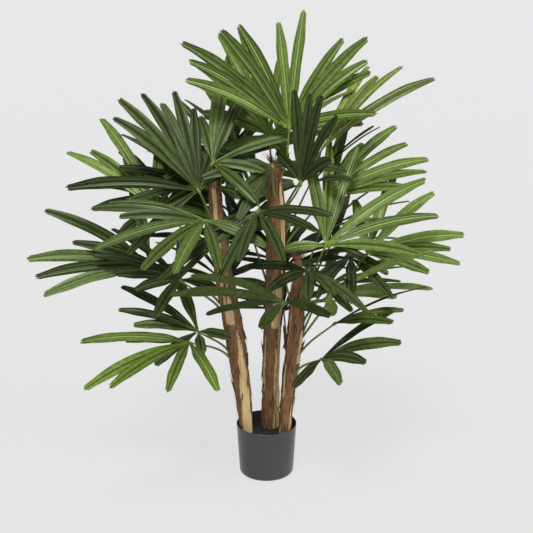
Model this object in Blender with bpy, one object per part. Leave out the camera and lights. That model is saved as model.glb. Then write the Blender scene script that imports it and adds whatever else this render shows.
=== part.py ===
"""Artificial lady palm in a small round pot, at its real size (metres, +Z up).

Three wrapped trunks rise from the filled pot. Each carries fans of blunt leaflets on thin stalks. The
origin is the middle of the pot's flat underside, +X is right and -Y is the front, the side that shows the
tallest fan. A fan is set by the place of its hub, by the way it faces and by the angles of its leaflets.
Each leaflet is then turned a little, shortened or left out until it is clear of all that was placed before.
"""
import itertools
import math
import random
from collections import namedtuple

import bmesh
import bpy
from mathutils import Vector
from mathutils.bvhtree import BVHTree

# Pot and fill
POT_HEIGHT = 0.137
RIM_RADIUS = 0.0775
FOOT_RADIUS = 0.0695
FOOT_ROUND = 0.010
POT_WALL = 0.0022
POT_FLOOR = 0.004
FILL_TOP = 0.118
ROUND_STEPS = 4
TURN_STEPS = 40
SHARP_ANGLE = math.radians(35.0)

# Gap that touching pieces keep
CLEAR = 0.0003

# Trunks: the foot and tip of the centre line, its bow and sway sideways, and radii evenly from foot to tip.
# The folds of the wrap run round the trunk and twist as they rise
Trunk = namedtuple("Trunk", "foot tip bow sway radii")
TRUNKS = {
    "left": Trunk((-0.051, -0.014), (-0.131, -0.012, 0.830), -0.004, 0.005,
                  (0.0165, 0.0200, 0.0235, 0.0230, 0.0195, 0.0155, 0.0070)),
    "middle": Trunk((0.010, 0.020), (0.022, 0.000, 0.830), 0.003, -0.003,
                    (0.0225, 0.0210, 0.0210, 0.0215, 0.0225, 0.0205, 0.0110)),
    "right": Trunk((0.047, -0.020), (0.078, -0.012, 0.590), 0.006, -0.003,
                   (0.0150, 0.0155, 0.0180, 0.0195, 0.0190, 0.0165, 0.0075)),
}
TRUNK_FOOT = FILL_TOP + CLEAR
TRUNK_SIDES = 12
TRUNK_RINGS = 15
WRAP_FOLDS = 0.05
WRAP_FOLDS_ROUND = 3
WRAP_TWIST = 17.0

# Stalks: the shares of the span by which they rise at the foot and run on at the hub, and how far they
# follow the fan there. The shares by which they leave the trunk sideways, and the moves round and along it,
# are tried in turn until one runs free
STALK_FOOT_RADIUS = 0.0040
STALK_TIP_RADIUS = 0.0026
STALK_SIDES = 4
STALK_RINGS = 5
STALK_RISE = 0.30
STALK_END = 0.30
STALK_FOLLOW = 0.60
STALK_SPREADS = (0.2, 0.35, 0.5)
STALK_TURNS = (0, 15, -15, 30, -30, 45, -45, 60, -60)
STALK_SHIFTS = (0.0, 0.012, -0.012, 0.024, -0.024)
SEAT_START = 1.3
SEAT_TRIES = 12
SEAT_GAP = 1.3 * CLEAR

# Hubs: small knobs, narrower at both ends
HUB_RADIUS = 0.0080
HUB_SIDES = 5
HUB_RINGS = ((-0.9, 0.45), (0.0, 1.0), (0.9, 0.5))

# Leaflets: full width, depth of the rib below, fall of the tip, start inside the hub, and sections by step
LEAFLET_WIDTH = 0.026
LEAFLET_RIB = 0.0033
LEAFLET_FALL = 0.45
LEAFLET_START = 0.0055
LEAFLET_STEPS = 20
SECTIONS = (0, 7, 16, 20)
ROOT_WIDTH = 0.25
FULL_WIDTH_AT = 0.50
TIP_CLOSES_AT = 0.88
TIP_CLOSES_BY = 0.35
RIB_THINS_BY = 0.45
SHORTER_AT_SIDE = 0.5
SIDE_ANGLE = 110.0
MOST_ANGLE_SHARE = 1.3
SIDE_POWER = 1.6

# Room that a leaflet keeps round itself while it is being placed
ROOM_SIDE = 0.0012
ROOM_FACE = 0.0010
NUDGES = (3.0, 6.0, 9.0, 12.0, 16.0, 20.0)
NUDGE_WAYS = 8
SHORTER = (1.0, 0.85, 0.7)

# Fans that show from the front: trunk, height of the stalk's foot, hub, (heading, lift, roll) in degrees,
# where a heading of 0 is +X and 90 is away from the front, longest leaflet, (angle, share of the length) of
# each leaflet, and how far its blades turn their upper sides to the front, or if below 0 their undersides
Fan = namedtuple("Fan", "name trunk seat hub aim reach leaflets turn tint")
FRONT_FANS = (
    Fan("top_a", "middle", 0.79, (0.054, -0.030, 0.917), (107, 78, -15), 0.254,
        ((-9, 1.11), (1, 0.99), (17, 1.09), (24, 1.16), (38, 1.41), (42, 1.26), (50, 1.24),
         (-28, 1.03), (-36, 1.22), (-43, 1.09)), 0, "bright"),
    Fan("front_a", "middle", 0.62, (-0.020, -0.140, 0.742), (247, -15, 15), 0.278,
        ((95, 1.09), (73, 0.89), (40, 0.89), (-1, 0.84), (-34, 1.07), (-48, 1.17), (-90, 0.92),
         (8, 0.64)), 0.4, "dark"),
    Fan("left_front_a", "left", 0.6, (-0.143, -0.160, 0.726), (224, 8, -15), 0.31,
        ((-7, 0.95), (18, 0.89), (61, 0.74), (33, 0.83), (116, 1.14), (138, 1.5), (-51, 1.03),
         (-63, 1.03), (-42, 0.72)), 0.5, "mid"),
    Fan("right_a", "right", 0.5, (0.142, -0.100, 0.647), (50, 50, 34), 0.279,
        ((109, 0.74), (31, 1.09), (22, 1.07), (10, 1.03), (-21, 1.16), (-38, 1.16), (-58, 0.99)),
        0, "bright"),
    Fan("left_low_a", "left", 0.325, (-0.190, -0.100, 0.397), (210, 10, 0), 0.3,
        ((-45, 1.1), (17, 1.13), (24, 1.0), (51, 0.94), (81, 1.05), (-52, 0.7)), 0.6, "bright"),
    Fan("top_b", "middle", 0.77, (0.008, 0.040, 0.886), (100, 70, -38), 0.28,
        ((19, 1.14), (10, 1.04), (35, 1.14), (42, 1.06), (55, 0.89), (-11, 0.82), (93, 1.31),
         (-137, 0.92), (-50, 1.2), (-74, 1.35)), 0, "bright"),
    Fan("top_c", "middle", 0.71, (0.146, 0.050, 0.861), (20, 40, 26), 0.281,
        ((14, 1.09), (-2, 1.14), (29, 1.05), (21, 0.91)), 0, "olive"),
    Fan("right_low_a", "middle", 0.45, (0.144, -0.080, 0.506), (-24, 50, -22), 0.272,
        ((27, 1.11), (66, 1.64), (72, 1.2), (55, 0.78), (-21, 0.53), (117, 0.82)), 0, "bright"),
    Fan("front_b", "middle", 0.43, (0.040, -0.120, 0.511), (216, 35, 30), 0.242,
        ((-56, 0.97), (-112, 1.2), (2, 1.22), (132, 1.49), (-23, 1.19)), -0.4, "mid"),
    Fan("top_d", "middle", 0.69, (0.081, -0.100, 0.802), (336, 89, 53), 0.24,
        ((9, 0.91), (-15, 0.99), (-30, 1.05), (-46, 0.72), (52, 0.61), (-6, 0.91)), 0.5, "dark"),
    Fan("top_e", "middle", 0.74, (0.015, -0.040, 0.826), (290, -40, 0), 0.24,
        ((-48, 0.82), (-64, 0.68), (-100, 1.26), (-120, 1.22), (98, 1.3)), 0, "dark"),
    Fan("left_top_a", "left", 0.69, (-0.163, -0.070, 0.776), (150, 50, -45), 0.273,
        ((6, 1.01), (-1, 1.11), (-10, 1.05), (-16, 0.9), (-23, 1.0), (-31, 0.83), (44, 1.3),
         (-68, 1.08), (-80, 0.88), (91, 1.31)), 0, "dark"),
    Fan("left_top_b", "left", 0.77, (-0.128, -0.050, 0.838), (30, 40, 34), 0.247,
        ((23, 0.97), (31, 1.61), (41, 1.09), (54, 0.74), (-19, 1.2), (-50, 0.59), (-99, 1.12)),
        0, "mid"),
    Fan("left_a", "left", 0.6, (-0.272, 0.020, 0.704), (120, 50, -15), 0.28,
        ((28, 1.07), (20, 0.89), (6, 1.11), (-19, 0.85), (-69, 0.95), (-103, 0.95), (-49, 1.11)),
        0, "bright"),
    Fan("left_b", "left", 0.58, (-0.253, 0.100, 0.703), (126, 50, -38), 0.24,
        ((39, 1.0), (11, 0.86), (92, 1.03), (59, 1.0), (-24, 0.76), (-115, 1.04), (-103, 0.85),
         (-92, 0.85), (-66, 0.76)), 0, "dark"),
    Fan("left_c", "left", 0.47, (-0.286, -0.030, 0.572), (173, 40, -53), 0.289,
        ((1, 1.01), (25, 1.09), (34, 1.05), (44, 1.05), (-84, 0.81), (-41, 1.14)), 0, "mid"),
    Fan("left_d", "left", 0.455, (-0.212, -0.060, 0.548), (126, 30, 15), 0.24,
        ((88, 0.86), (122, 1.61), (18, 0.92), (-33, 1.36), (-93, 1.01), (66, 0.87), (49, 1.05),
         (34, 1.25)), 0.2, "dark"),
    Fan("left_low_b", "left", 0.345, (-0.170, -0.060, 0.412), (160, 30, -30), 0.219,
        ((-6, 1.09), (10, 0.96), (21, 0.76), (-39, 1.05), (122, 0.73), (-137, 1.33), (68, 0.8)),
        0, "mid"),
    Fan("right_b", "right", 0.38, (0.248, -0.020, 0.601), (30, 38, 42), 0.228,
        ((27, 1.09), (5, 1.09), (-24, 1.16), (-42, 1.14), (-32, 0.99), (51, 0.82), (-54, 0.83)),
        0, "bright"),
    Fan("right_c", "middle", 0.61, (0.149, 0.040, 0.731), (40, 40, 38), 0.252,
        ((2, 1.14), (-8, 1.08), (-20, 1.2), (-26, 1.14), (10, 0.76), (24, 0.93), (-34, 0.93)),
        0, "bright"),
    Fan("right_d", "right", 0.42, (0.211, 0.030, 0.576), (-66, 5, -3), 0.22,
        ((-66, 1.03), (-2, 0.84), (-30, 1.25), (109, 0.83), (-44, 1.39), (-101, 1.11)), 0.4, "dark"),
    Fan("right_low_b", "right", 0.34, (0.172, -0.020, 0.418), (20, 30, -15), 0.24,
        ((-56, 0.96), (1, 1.08), (-40, 0.89), (-33, 0.75)), 0.2, "mid"),
    Fan("right_low_c", "right", 0.29, (0.137, -0.080, 0.346), (-60, 30, 30), 0.263,
        ((74, 1.29), (14, 1.05), (-1, 0.78), (-22, 0.8), (-137, 1.38)), 0.5, "mid"),
    Fan("front_c", "right", 0.49, (0.101, -0.100, 0.585), (263, 3, -11), 0.2,
        ((-32, 0.84), (5, 0.74), (33, 0.72), (-99, 1.32), (79, 1.04), (43, 1.26)), 0.6, "dark"),
)

# Fans of the back and the sides, by rule: for each trunk the height of the stalk's foot, its heading and
# the seed of the fan's scatter. The hubs stand off the trunk by the arm and the rise, the fans lift more
# the higher they sit, and the blades turn their upper sides away from the front. Pairs are the ends of a
# random spread
BACK_TIERS = {
    "left": ((0.70, 83, 15), (0.62, 124, 14), (0.54, 85, 22), (0.46, 105, 17), (0.36, 108, 25)),
    "middle": ((0.74, 85, 21), (0.72, 140, 30), (0.64, 23, 14), (0.58, 115, 5), (0.50, 132, 1),
               (0.42, 70, 32)),
    "right": ((0.50, 60, 27), (0.47, 37, 40), (0.43, 110, 38), (0.35, 52, 20), (0.28, 98, 19)),
}
BACK_ARM = (0.089, 0.131)
BACK_RISE = (0.098, 0.138)
BACK_REACH = (0.239, 0.276)
BACK_LIFT = (50.0, 79.0)
BACK_HEADING_OFF = (-12.0, 12.0)
BACK_ROLL = (-20.0, 20.0)
BACK_ANGLE_OFF = (-4.0, 4.0)
BACK_SHARE = (0.88, 1.08)
BACK_TURN = -0.3
BACK_SPREAD = (-72.0, -48.0, -25.0, -4.0, 17.0, 40.0, 66.0)
BACK_TINTS = ("mid", "dark", "bright", "dark", "mid", "olive")

# Materials: colour, roughness
LEAF_COLOURS = {
    "bright": (0.105, 0.190, 0.032),
    "mid": (0.050, 0.105, 0.024),
    "dark": (0.018, 0.045, 0.016),
    "olive": (0.110, 0.140, 0.055),
}
LEAF_ROUGHNESS = 0.45
WRAP_COLOUR = (0.055, 0.028, 0.016)
WRAP_ROUGHNESS = 0.95
POT_COLOUR = (0.030, 0.031, 0.034)
POT_ROUGHNESS = 0.50
FILL_COLOUR = (0.016, 0.015, 0.014)
FILL_ROUGHNESS = 0.90

UP = Vector((0.0, 0.0, 1.0))
# Upright share of an axis beyond which it counts as steep
STEEP = 0.9
# Where a blade faces once it is fully turned to the front
FRONT = Vector((0.0, -0.95, 0.31))


def smooth(x):
    """Rise from 0 to 1 with flat ends."""
    x = min(1.0, max(0.0, x))
    return x * x * (3.0 - 2.0 * x)


def mix(values, share):
    """Value at a share of the way along an evenly spaced list."""
    place = min(1.0, max(0.0, share)) * (len(values) - 1)
    first = min(int(place), len(values) - 2)
    return values[first] + (values[first + 1] - values[first]) * (place - first)


def flat_direction(heading):
    """Level unit vector of a heading in degrees."""
    return Vector((math.cos(math.radians(heading)), math.sin(math.radians(heading)), 0.0))


def loft(rings):
    """Vertices and faces of a closed solid through rings of points, with flat ends."""
    sides = len(rings[0])
    points = [point for ring in rings for point in ring]
    faces = [tuple(reversed(range(sides)))]
    for row in range(len(rings) - 1):
        for side in range(sides):
            after = (side + 1) % sides
            low = row * sides
            high = low + sides
            faces.append((low + side, low + after, high + after, high + side))
    faces.append(tuple(range(len(points) - sides, len(points))))
    return points, faces


def tree_of(solid):
    """Search tree of a solid's faces."""
    return BVHTree.FromPolygons(solid[0], solid[1])


def trunk_share(trunk, height):
    """How far up a trunk a height lies, from 0 to 1."""
    return (height - TRUNK_FOOT) / (trunk.tip[2] - TRUNK_FOOT)


def trunk_centre(trunk, share):
    """Point on a trunk's centre line."""
    foot = Vector((trunk.foot[0], trunk.foot[1], TRUNK_FOOT))
    point = foot.lerp(Vector(trunk.tip), share)
    point.x += trunk.bow * math.sin(math.pi * share) + trunk.sway * math.sin(2.0 * math.pi * share)
    return point


def trunk_solid(trunk):
    """Wrapped trunk with level rings, from its flat foot to its blunt tip."""
    rings = []
    for row in range(TRUNK_RINGS):
        share = row / (TRUNK_RINGS - 1)
        centre = trunk_centre(trunk, share)
        ring = []
        for side in range(TRUNK_SIDES):
            turn = 2.0 * math.pi * side / TRUNK_SIDES
            wave = math.sin(WRAP_FOLDS_ROUND * turn + WRAP_TWIST * share) * math.sin(math.pi * share)
            radius = mix(trunk.radii, share) * (1.0 + WRAP_FOLDS * wave)
            ring.append(centre + radius * Vector((math.cos(turn), math.sin(turn), 0.0)))
        rings.append(ring)
    return loft(rings)


def fan_axes(aim):
    """Main direction, sideways direction and upper face of a fan."""
    heading, lift, roll = aim
    level = flat_direction(heading)
    main = level * math.cos(math.radians(lift)) + UP * math.sin(math.radians(lift))
    flat_side = Vector((-level.y, level.x, 0.0))
    face = main.cross(flat_side)
    side = flat_side * math.cos(math.radians(roll)) + face * math.sin(math.radians(roll))
    return main, side, main.cross(side)


def leaflet_length(reach, angle, share):
    """Leaflets get shorter towards the sides of the fan."""
    sideways = min(MOST_ANGLE_SHARE, abs(angle) / SIDE_ANGLE)
    return reach * share * (1.0 - SHORTER_AT_SIDE * sideways ** SIDE_POWER)


def leaflet_line(fan, angle, tip_up, length):
    """Centre line of a leaflet: point, sideways direction and upper face at each step, as the tip falls."""
    main, side, face = fan_axes(fan.aim)
    start = main * math.cos(math.radians(angle)) + side * math.sin(math.radians(angle))
    start = (start + face * math.tan(math.radians(tip_up))).normalized()
    face = face * (1.0 - abs(fan.turn)) + FRONT * fan.turn
    point = Vector(fan.hub) + start * LEAFLET_START
    length -= LEAFLET_START
    line = []
    for step in range(LEAFLET_STEPS + 1):
        share = step / LEAFLET_STEPS
        way = (start - UP * LEAFLET_FALL * (share + 0.5 / LEAFLET_STEPS)).normalized()
        across = face.cross(way).normalized()
        line.append((point.copy(), across, way.cross(across)))
        point += way * (length / LEAFLET_STEPS)
    return line


def half_width(share):
    """Half of a leaflet's width: narrow at the hub, full past the middle, blunt at the tip."""
    opening = ROOT_WIDTH + (1.0 - ROOT_WIDTH) * smooth(share / FULL_WIDTH_AT)
    closing = 1.0 - TIP_CLOSES_BY * smooth((share - TIP_CLOSES_AT) / (1.0 - TIP_CLOSES_AT))
    return 0.5 * LEAFLET_WIDTH * opening * closing


def leaflet_solid(line, room_side=0.0, room_face=0.0):
    """Thin blade with a rib below, thinner towards the tip."""
    rings = []
    for step in SECTIONS:
        point, across, face = line[step]
        share = step / LEAFLET_STEPS
        wide = half_width(share) + room_side
        deep = LEAFLET_RIB * (1.0 - RIB_THINS_BY * share) + room_face
        rings.append((point - across * wide + face * room_face, point - face * deep,
                      point + across * wide + face * room_face))
    return loft(rings)


def hub_solid(hub, axis, room=0.0):
    """Small knob in which the stalk and the leaflets meet."""
    first = axis.cross(UP if abs(axis.z) < STEEP else Vector((1.0, 0.0, 0.0))).normalized()
    second = axis.cross(first)
    rings = []
    for along, wide in HUB_RINGS:
        ring = []
        for side in range(HUB_SIDES):
            turn = 2.0 * math.pi * side / HUB_SIDES
            spot = first * math.cos(turn) + second * math.sin(turn)
            ring.append(hub + (HUB_RADIUS + room) * (axis * along + spot * wide))
        rings.append(ring)
    return loft(rings)


def stalk_solid(foot, outward, hub, axis, spread, room=0.0):
    """Stalk that leaves the trunk's side, arches up and out, and ends in its hub."""
    span = (hub - foot).length
    bends = (foot, foot + outward * spread * span + UP * STALK_RISE * span,
             hub - ((hub - foot).normalized() + STALK_FOLLOW * axis).normalized() * STALK_END * span, hub)
    level_side = UP.cross(outward)
    rings = []
    for row in range(STALK_RINGS):
        t = row / (STALK_RINGS - 1)
        weights = ((1 - t) ** 3, 3 * t * (1 - t) ** 2, 3 * t * t * (1 - t), t ** 3)
        slopes = ((1 - t) ** 2, 2 * t * (1 - t), t * t)
        point = sum((bend * weight for bend, weight in zip(bends, weights)), Vector())
        way = sum(((bends[k + 1] - bends[k]) * slopes[k] for k in range(3)), Vector()).normalized()
        if row == 0:
            first, second = level_side, UP
        else:
            first = (level_side - way * level_side.dot(way)).normalized()
            second = way.cross(first)
        radius = STALK_FOOT_RADIUS + (STALK_TIP_RADIUS - STALK_FOOT_RADIUS) * t + room
        ring = []
        for side in range(STALK_SIDES):
            turn = 2.0 * math.pi * side / STALK_SIDES
            ring.append(point + radius * (first * math.cos(turn) + second * math.sin(turn)))
        rings.append(ring)
    return loft(rings)


def seat_on_trunk(trunk, trunk_tree, height, outward):
    """Point where a stalk starts: its flat end stands the small gap off the trunk."""
    centre = trunk_centre(trunk, trunk_share(trunk, height))
    side = UP.cross(outward)
    reach = max(trunk.radii) * SEAT_START
    for _ in range(SEAT_TRIES):
        point = centre + outward * reach
        near = []
        for part in (0.0, 0.5, 1.0):
            for turn in range(STALK_SIDES * 2):
                angle = math.pi * turn / STALK_SIDES
                place = point + part * STALK_FOOT_RADIUS * (side * math.cos(angle) + UP * math.sin(angle))
                near.append(trunk_tree.find_nearest(place)[3])
        reach -= min(near) - SEAT_GAP
    return centre + outward * reach


def back_fans():
    """Fans of the back and the sides, set out round the trunks by rule."""
    fans = []
    for trunk_name, tiers in BACK_TIERS.items():
        for number, (seat, heading, seed) in enumerate(tiers):
            rng = random.Random(seed)
            centre = trunk_centre(TRUNKS[trunk_name], trunk_share(TRUNKS[trunk_name], seat))
            hub = centre + flat_direction(heading) * rng.uniform(*BACK_ARM) + UP * rng.uniform(*BACK_RISE)
            lift = seat * rng.uniform(*BACK_LIFT)
            aim = (heading + rng.uniform(*BACK_HEADING_OFF), lift, rng.uniform(*BACK_ROLL))
            leaflets = tuple((angle + rng.uniform(*BACK_ANGLE_OFF), rng.uniform(*BACK_SHARE))
                             for angle in BACK_SPREAD)
            fans.append(Fan("back_%s_%d" % (trunk_name, number + 1), trunk_name, seat, tuple(hub), aim,
                            rng.uniform(*BACK_REACH), leaflets, BACK_TURN,
                            BACK_TINTS[len(fans) % len(BACK_TINTS)]))
    return fans


def nudges():
    """Turns in the fan and lifts out of it to try for a leaflet, in degrees, least first."""
    tries = [(0.0, 0.0)]
    for nudge, way in itertools.product(NUDGES, range(NUDGE_WAYS)):
        angle = 2.0 * math.pi * way / NUDGE_WAYS
        tries.append((nudge * math.cos(angle), nudge * math.sin(angle)))
    return tries


class Layout:
    """Places stalks and leaflets one by one, each clear of all that stands before it."""

    def __init__(self):
        self.trunks = {name: trunk_solid(trunk) for name, trunk in TRUNKS.items()}
        self.trunk_trees = {name: tree_of(solid) for name, solid in self.trunks.items()}
        self.placed = [(None, self.bounds(solid), tree) for solid, tree in
                       zip(self.trunks.values(), self.trunk_trees.values())]
        self.stalks = {}
        self.leaflets = {}

    @staticmethod
    def bounds(solid):
        """Lowest and highest corner of a solid."""
        return [(min(p[k] for p in solid[0]), max(p[k] for p in solid[0])) for k in range(3)]

    def is_clear(self, owner, solid, skip_trunk=None):
        """Whether a solid meets nothing but pieces of its own fan."""
        box = self.bounds(solid)
        tree = tree_of(solid)
        for other, limits, other_tree in self.placed:
            if other == owner or other_tree is skip_trunk:
                continue
            if all(box[k][0] <= limits[k][1] and limits[k][0] <= box[k][1] for k in range(3)):
                if tree.overlap(other_tree):
                    return False
        return True

    def keep(self, owner, solid):
        """Remember the space that a placed piece takes."""
        self.placed.append((owner, self.bounds(solid), tree_of(solid)))

    def place_stalk(self, fan):
        """Try feet and bends round the trunk until the stalk runs free."""
        trunk = TRUNKS[fan.trunk]
        tree = self.trunk_trees[fan.trunk]
        hub = Vector(fan.hub)
        axis = fan_axes(fan.aim)[0]
        away = hub - trunk_centre(trunk, trunk_share(trunk, fan.seat))
        heading = math.degrees(math.atan2(away.y, away.x))
        for spread, turn, shift in itertools.product(STALK_SPREADS, STALK_TURNS, STALK_SHIFTS):
            outward = flat_direction(heading + turn)
            foot = seat_on_trunk(trunk, tree, fan.seat + shift, outward)
            if tree_of(stalk_solid(foot, outward, hub, axis, spread)).overlap(tree):
                continue
            wider = stalk_solid(foot, outward, hub, axis, spread, ROOM_SIDE)
            knob = hub_solid(hub, axis, ROOM_SIDE)
            if self.is_clear(fan.name, wider, tree) and self.is_clear(fan.name, knob):
                self.stalks[fan.name] = (foot, outward, spread)
                self.keep(fan.name, wider)
                self.keep(fan.name, knob)
                return True
        return False

    def place_leaflets(self, fan):
        """Turn, lift or shorten each leaflet until it is clear, or leave it out."""
        self.leaflets[fan.name] = []
        for angle, share in fan.leaflets:
            full_length = leaflet_length(fan.reach, angle, share)
            for shorter, (turn, tip_up) in itertools.product(SHORTER, nudges()):
                leaflet = (angle + turn, tip_up, full_length * shorter)
                solid = leaflet_solid(leaflet_line(fan, *leaflet), ROOM_SIDE, ROOM_FACE)
                if self.is_clear(fan.name, solid):
                    self.leaflets[fan.name].append(leaflet)
                    self.keep(fan.name, solid)
                    break

    def grow(self):
        """Place the front fans together, then the others one after another."""
        front = [fan for fan in FRONT_FANS if self.place_stalk(fan)]
        for fan in front:
            self.place_leaflets(fan)
        grown = list(front)
        for fan in back_fans():
            if self.place_stalk(fan):
                self.place_leaflets(fan)
                grown.append(fan)
        return grown


def clear_scene():
    """Remove the startup objects."""
    for thing in list(bpy.data.objects):
        bpy.data.objects.remove(thing, do_unlink=True)


def material(name, colour, roughness):
    """Plain Principled material."""
    made = bpy.data.materials.new(name)
    made.use_nodes = True
    shader = made.node_tree.nodes["Principled BSDF"]
    shader.inputs["Base Color"].default_value = (*colour, 1.0)
    shader.inputs["Roughness"].default_value = roughness
    shader.inputs["Metallic"].default_value = 0.0
    return made


def mesh_object(name, solid, look, holder):
    """Object made of a solid's points and faces."""
    mesh = bpy.data.meshes.new(name)
    mesh.from_pydata([tuple(point) for point in solid[0]], [], solid[1])
    mesh.materials.append(look)
    thing = bpy.data.objects.new(name, mesh)
    bpy.context.scene.collection.objects.link(thing)
    thing.parent = holder
    return thing


def turned_object(name, outline, look, holder):
    """Round solid: an outline of (radius, height) from axis to axis, spun about the upright axis."""
    shape = bmesh.new()
    points = [shape.verts.new((radius, 0.0, height)) for radius, height in outline]
    edges = [shape.edges.new(pair) for pair in zip(points, points[1:])]
    bmesh.ops.spin(shape, geom=points + edges, cent=(0, 0, 0), axis=(0, 0, 1), angle=2.0 * math.pi,
                   steps=TURN_STEPS, use_merge=True)
    bmesh.ops.remove_doubles(shape, verts=shape.verts, dist=1e-6)
    bmesh.ops.recalc_face_normals(shape, faces=shape.faces)
    mesh = bpy.data.meshes.new(name)
    shape.to_mesh(mesh)
    shape.free()
    mesh.shade_smooth()
    mesh.set_sharp_from_angle(angle=SHARP_ANGLE)
    mesh.materials.append(look)
    thing = bpy.data.objects.new(name, mesh)
    bpy.context.scene.collection.objects.link(thing)
    thing.parent = holder
    return thing


def pot_radius(height, inset=0.0):
    """Radius of the pot's straight sloping side at a height."""
    return FOOT_RADIUS + (RIM_RADIUS - FOOT_RADIUS) * height / POT_HEIGHT - inset


def build_pot(look, holder):
    """Thin-walled tapering pot with a rounded foot, open at the top."""
    outline = [(0.0, 0.0)]
    for step in range(ROUND_STEPS + 1):
        turn = 0.5 * math.pi * step / ROUND_STEPS
        radius = pot_radius(FOOT_ROUND) - FOOT_ROUND * (1.0 - math.sin(turn))
        outline.append((radius, FOOT_ROUND * (1.0 - math.cos(turn))))
    outline.append((RIM_RADIUS, POT_HEIGHT))
    outline.append((RIM_RADIUS - POT_WALL, POT_HEIGHT))
    outline.append((pot_radius(FOOT_ROUND, POT_WALL), FOOT_ROUND))
    outline.append((pot_radius(FOOT_ROUND, POT_WALL) - FOOT_ROUND + POT_FLOOR, POT_FLOOR))
    outline.append((0.0, POT_FLOOR))
    turned_object("pot", outline, look, holder)


def build_fill(look, holder):
    """Filler that holds the trunks: it fills the pot to a flat top."""
    low = POT_FLOOR + CLEAR
    gap = POT_WALL + CLEAR
    outline = [(0.0, low), (pot_radius(FOOT_ROUND, gap) - FOOT_ROUND + POT_FLOOR, low),
               (pot_radius(FOOT_ROUND, gap), FOOT_ROUND + CLEAR), (pot_radius(FILL_TOP, gap), FILL_TOP),
               (0.0, FILL_TOP)]
    turned_object("fill", outline, look, holder)


def keep_outer_skin(mesh):
    """Drop the skins of sealed hollows and any loose scrap: only the largest connected skin stays."""
    shape = bmesh.new()
    shape.from_mesh(mesh)
    bmesh.ops.triangulate(shape, faces=shape.faces)
    skins = []
    left = set(shape.faces)
    while left:
        skin = {left.pop()}
        front = list(skin)
        while front:
            for side in front.pop().edges:
                for face in side.link_faces if side.is_manifold else ():
                    if face in left:
                        left.remove(face)
                        skin.add(face)
                        front.append(face)
        skins.append(skin)
    skins.sort(key=len)
    for skin in skins[:-1]:
        bmesh.ops.delete(shape, geom=list(skin), context="FACES")
    shape.to_mesh(mesh)
    shape.free()


def build_fan(fan, layout, looks, holder):
    """Fan as one closed solid: stalk, hub and leaflets joined by one union."""
    hub = Vector(fan.hub)
    axis = fan_axes(fan.aim)[0]
    look = looks[fan.tint]
    foot, outward, spread = layout.stalks[fan.name]
    whole = mesh_object("frond_" + fan.name, stalk_solid(foot, outward, hub, axis, spread), look, holder)
    group = bpy.data.collections.new("pieces")
    bpy.context.scene.collection.children.link(group)
    solids = [hub_solid(hub, axis)]
    for angle, tip_up, length in layout.leaflets[fan.name]:
        solids.append(leaflet_solid(leaflet_line(fan, angle, tip_up, length)))
    for solid in solids:
        piece = mesh_object("piece", solid, look, None)
        bpy.context.scene.collection.objects.unlink(piece)
        group.objects.link(piece)
    union = whole.modifiers.new("union", "BOOLEAN")
    union.operation = "UNION"
    union.operand_type = "COLLECTION"
    union.collection = group
    union.solver = "MANIFOLD"
    bpy.context.view_layer.update()
    joined = bpy.data.meshes.new_from_object(whole.evaluated_get(bpy.context.evaluated_depsgraph_get()))
    whole.modifiers.clear()
    keep_outer_skin(joined)
    whole.data = joined
    for piece in list(group.objects):
        bpy.data.objects.remove(piece, do_unlink=True)
    bpy.data.collections.remove(group)
    return whole


def main():
    """Build the whole plant."""
    clear_scene()
    holder = bpy.data.objects.new("plant", None)
    bpy.context.scene.collection.objects.link(holder)
    looks = {}
    for tint, colour in LEAF_COLOURS.items():
        looks[tint] = material("leaf_" + tint, colour, LEAF_ROUGHNESS)
    build_pot(material("pot", POT_COLOUR, POT_ROUGHNESS), holder)
    build_fill(material("fill", FILL_COLOUR, FILL_ROUGHNESS), holder)
    wrap = material("wrap", WRAP_COLOUR, WRAP_ROUGHNESS)
    layout = Layout()
    for name, solid in layout.trunks.items():
        mesh_object("trunk_" + name, solid, wrap, holder)
    for fan in layout.grow():
        build_fan(fan, layout, looks, holder)


main()
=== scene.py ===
"""Looks of the artificial lady palm: fine leaflets, wrapped trunks, pot and filler (metres, +Z up).

The tables down to BACK_TINTS and the functions down to the class Layout follow the part's own layout rule, so
every stalk and leaflet here lies where its solid lies. The rest makes the finer pieces that stand for the
solids.
"""
import itertools
import math
import random
from collections import namedtuple

import bpy
import numpy as np
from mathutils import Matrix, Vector, noise
from mathutils.bvhtree import BVHTree


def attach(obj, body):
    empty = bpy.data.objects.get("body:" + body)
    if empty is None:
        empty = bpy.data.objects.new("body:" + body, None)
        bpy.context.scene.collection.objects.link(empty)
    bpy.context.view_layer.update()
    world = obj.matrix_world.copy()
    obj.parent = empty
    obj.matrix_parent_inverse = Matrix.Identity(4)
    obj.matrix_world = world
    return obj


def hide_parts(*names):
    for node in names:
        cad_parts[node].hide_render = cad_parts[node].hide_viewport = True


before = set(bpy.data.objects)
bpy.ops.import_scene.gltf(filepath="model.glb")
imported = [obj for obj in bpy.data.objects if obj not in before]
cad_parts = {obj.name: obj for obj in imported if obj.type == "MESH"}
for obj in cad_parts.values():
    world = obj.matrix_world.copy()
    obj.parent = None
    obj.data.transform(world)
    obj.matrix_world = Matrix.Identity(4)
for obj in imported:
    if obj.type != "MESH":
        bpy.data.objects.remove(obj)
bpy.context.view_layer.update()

# Pot and fill
POT_HEIGHT = 0.137
RIM_RADIUS = 0.0775
FOOT_RADIUS = 0.0695
FOOT_ROUND = 0.010
POT_WALL = 0.0022
POT_FLOOR = 0.004
FILL_TOP = 0.118

# Gap that touching pieces keep
CLEAR = 0.0003

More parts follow.
